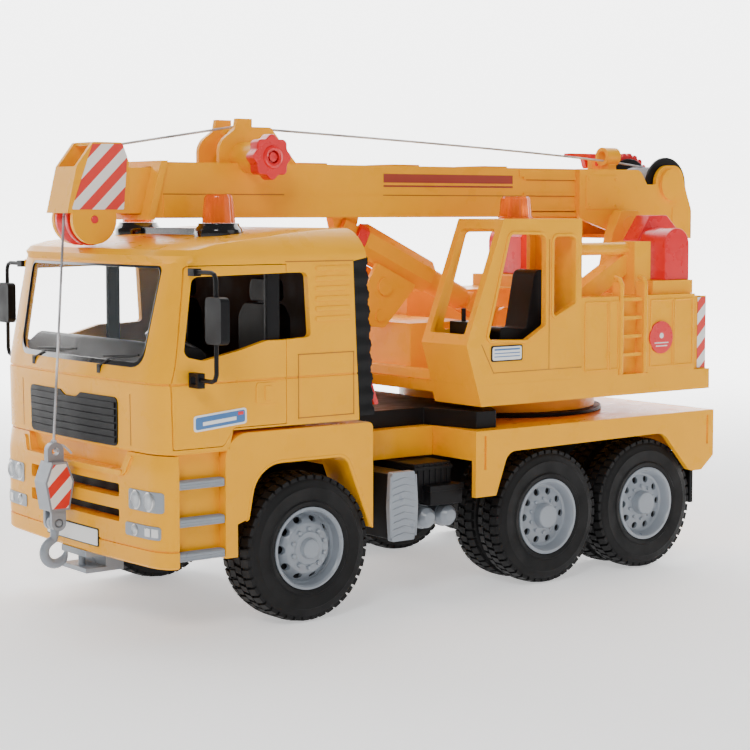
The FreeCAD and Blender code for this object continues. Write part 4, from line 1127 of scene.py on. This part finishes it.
def boom():
    """The boom's pieces with raised bands, painted shadow lines under them, stripes, riveted panels
    and the cord wound.
    """
    for node, bevel in (("boom_shell", 0.7), ("winch_housing", 0.7), ("knob_bracket", 0.6),
            ("boom_inner", 0.6), ("boom_head", 0.6)):
        soften(node, bevel)
    bm, lines, stripe, panel, sticker, turns = blank(6)
    brick(bm, (-44, 200), (-18.6, -17.6), (202.4, 213.9))
    for z in ((202.4, 204.6), (205.6, 207), (214.6, 216), (224, 225.4)):
        brick(bm, (200, 241.5), (-19.3, -17.6), z)
    brick(bm, (197, 241.5), (-18.7, -17.6), (225.4, 229.6))
    flip(bm)
    finished("boom_bands", bm, "yellow_plastic", "boom", bevel=0.3)
    # Brown lines paint the shadows under the bands and ribs.
    for z, run in ((214.6, (-44, 30)), (214.6, (97, 199)), (224, (203, 241)), (214.6, (203, 241)),
            (205.6, (203, 241))):
        side_line(lines, [(run[0], z - 0.4), (run[1], z - 0.4)], -18.1)
    flip(lines)
    finished("boom_painted_shade_lines", lines, "painted_shade_line", "boom")
    for z in ((221.2, 226), (218.8, 219.8)):
        brick(stripe, (97, 192), (-18.12, -17.9), z)
    flip(stripe)
    finished("boom_stripes", stripe, "dark_red", "boom")
    slab(panel, "y", rect((247, 274), (206.5, 227), 1), -22.5, -21.8)
    for x in (249.6, 271.4):
        for z in (209, 224.6):
            lathe(panel, "y", (x, 0, z), [(0, -23.1), (0.8, -22.9), (1.1, -22.4), (1.1, -22),
                (0, -22)], 14, False)
    slab(panel, "y", [(309, 192, 1), (326, 192, 1), (326, 208, 1), (321, 208, 1), (321, 196, 1),
        (309, 196, 1)], -22.4, -21.8)
    flip(panel)
    finished("winch_panels", panel, "yellow_plastic", "boom", bevel=0.2)
    slab(sticker, "y", [(-92.3, 206.4, 0.6), (-80.4, 238.9, 0.6), (-63.4, 239.3, 1),
        (-60.8, 233, 0.6), (-63, 206.4, 0.6)], -11.32, -10.9)
    flip(sticker)
    finished("head_stripes", sticker, "warning_stripes", "inner_boom")
    soften("head_pulley", 0.4)
    steps = 17 * 20             # seventeen turns of twenty steps
    path = []
    for step in range(steps + 1):
        turn = 2 * math.pi * step / 20
        path.append((319.2 + 10.75 * math.cos(turn), -13.6 + 24.8 * step / steps,
            221.6 + 10.75 * math.sin(turn)))
    tube(turns, path, 0.68, 6)
    finished("spool_cord", turns, "grey_cord", "winch")


def knob():
    soften("extension_knob", 0.9)
    bm = bmesh.new()
    lathe(bm, "y", (9, 0, 233.3), [(3.4, -38.8), (3.4, -39.7), (4.6, -40.1), (5.6, -39.7),
        (6, -38.8)], 40)
    lathe(bm, "y", (9, 0, 233.3), [(0, -37.2), (2.2, -37.4), (2.4, -39.2), (0, -39.6)], 24, False)
    finished("knob_hub", bm, "red_plastic", "knob")


# -------- hook

def hook_parts():
    soften("hook_block", 0.8)
    x = -98
    body = [(x - 4.2, 80.5), (x + 4.2, 80.5), (x + 8, 70.5), (x + 5.4, 56), (x - 5.4, 56),
        (x - 8, 70.5)]
    bm = bmesh.new()
    slab(bm, "y", grown(body, -1.1), -6.25, -5.8)
    flip(bm)
    finished("block_stripes", bm, "warning_stripes", "block")
    knot = bmesh.new()
    for turn, z in ((0.2, 88.2), (1.3, 89.0), (2.2, 89.8)):
        ring = [(x + 1.3 * math.cos(a) * math.cos(turn), 1.3 * math.cos(a) * math.sin(turn),
            z + 1.2 * math.sin(a)) for a in (step * math.pi / 6 for step in range(13))]
        tube(knot, ring, 0.6, 8)
    tube(knot, [(x, 0, 87), (x + 1, -2, 85.6), (x, -3, 85.5), (x - 1, -2, 86)], 0.6, 8)
    tube(knot, [(x + 1, 0, 89), (x + 4.4, -1.2, 88.2), (x + 7, -2, 85.8), (x + 8.6, -2.4, 84)],
        0.6, 8)
    finished("rope_knot", knot, "grey_cord", "block")
    bm = bmesh.new()
    lathe(bm, "y", (x, 0, 49.5), [(1.6, -2), (3.4, -2), (4, -1.4), (4, 1.4), (3.4, 2), (1.6, 2)],
        36)
    lathe(bm, "y", (x, 0, 49.5), [(0, -4.6), (2.2, -4.6), (2.6, -4.2), (2.6, 4.2), (2.2, 4.6),
        (0, 4.6)], 24, False)
    path, sizes = [(x - 0.1, 0, 46.6), (x - 0.2, 0, 43.4)], [2.4, 2.2]
    for step in range(24):
        turn = math.radians(98 + 11.2 * step)
        path.append((x + 6.1 * math.cos(turn), 0, 34.5 + 6.1 * math.sin(turn)))
        sizes.append(2.1 + 0.45 * math.sin(math.pi * step / 23) - max(0, step - 19) * 0.28)
    tube(bm, path, sizes, 14)
    stand_in("hook", bm)


def tanks():
    """Tanks with chevron ribs on their covers and straps round the air bottles."""
    bm = from_node("side_tanks")
    soft_edges(bm, 0.8)
    ribs = bmesh.new()
    for step in range(9):
        z = 37.5 + step * 3.6
        tube(ribs, [(52.6, -84, z), (59.5, -84.1, z + 1.6), (66.4, -84, z)], 0.42, 6)
    for x in (51.4, 67.6):
        tube(ribs, [(x, -83.4, 37), (x + (1 if x > 60 else -0.6), -83.4, 53), (x, -83.4, 69)],
            0.6, 8)
    for x in (84, 98.5):
        for y in (-68, -40):
            lathe(ribs, "y", (x, y, 43), [(6, -0.8), (6.4, -0.8), (6.4, 0.8), (6, 0.8)], 32)
    flip(ribs)
    joined(bm, ribs)
    stand_in("side_tanks", bm)
    boxes = bmesh.new()
    for x in (78, 82, 86, 90, 94, 98):
        brick(boxes, (x, x + 1.6), (-72.6, -71), (53, 71))
    brick(boxes, (75.4, 101.6), (-72.8, -60), (68.6, 70.4))
    brick(boxes, (81.4, 104.6), (-78.6, -60), (57.6, 60.6))
    flip(boxes)
    finished("box_ribs", boxes, "black_plastic", bevel=0.25)


# -------- everything else, softened

PLAIN = ["chassis_frame", "frame_cover", "rear_body", "slew_ring", "side_boxes",
    "mud_flaps", "tow_coupling", "cab_lever", "crane_deck", "boom_towers",
    "pivot_covers", "winch_spool", "ratchet_wheel", "winch_pawl", "cylinder_barrel",
    "cylinder_cap", "cylinder_tube", "cylinder_rod"]


camera()
cords()
wheels()
for build in (truck_cab, cab_inside, windscreen, grille, bumper, lamps, steps_and_fenders,
        doors, mirrors, air_intakes, beacons, crane_cab, housings, boom, knob, hook_parts,
        tanks):
    build()
for plain in PLAIN:
    soften(plain)
studio()
bpy.context.view_layer.update()
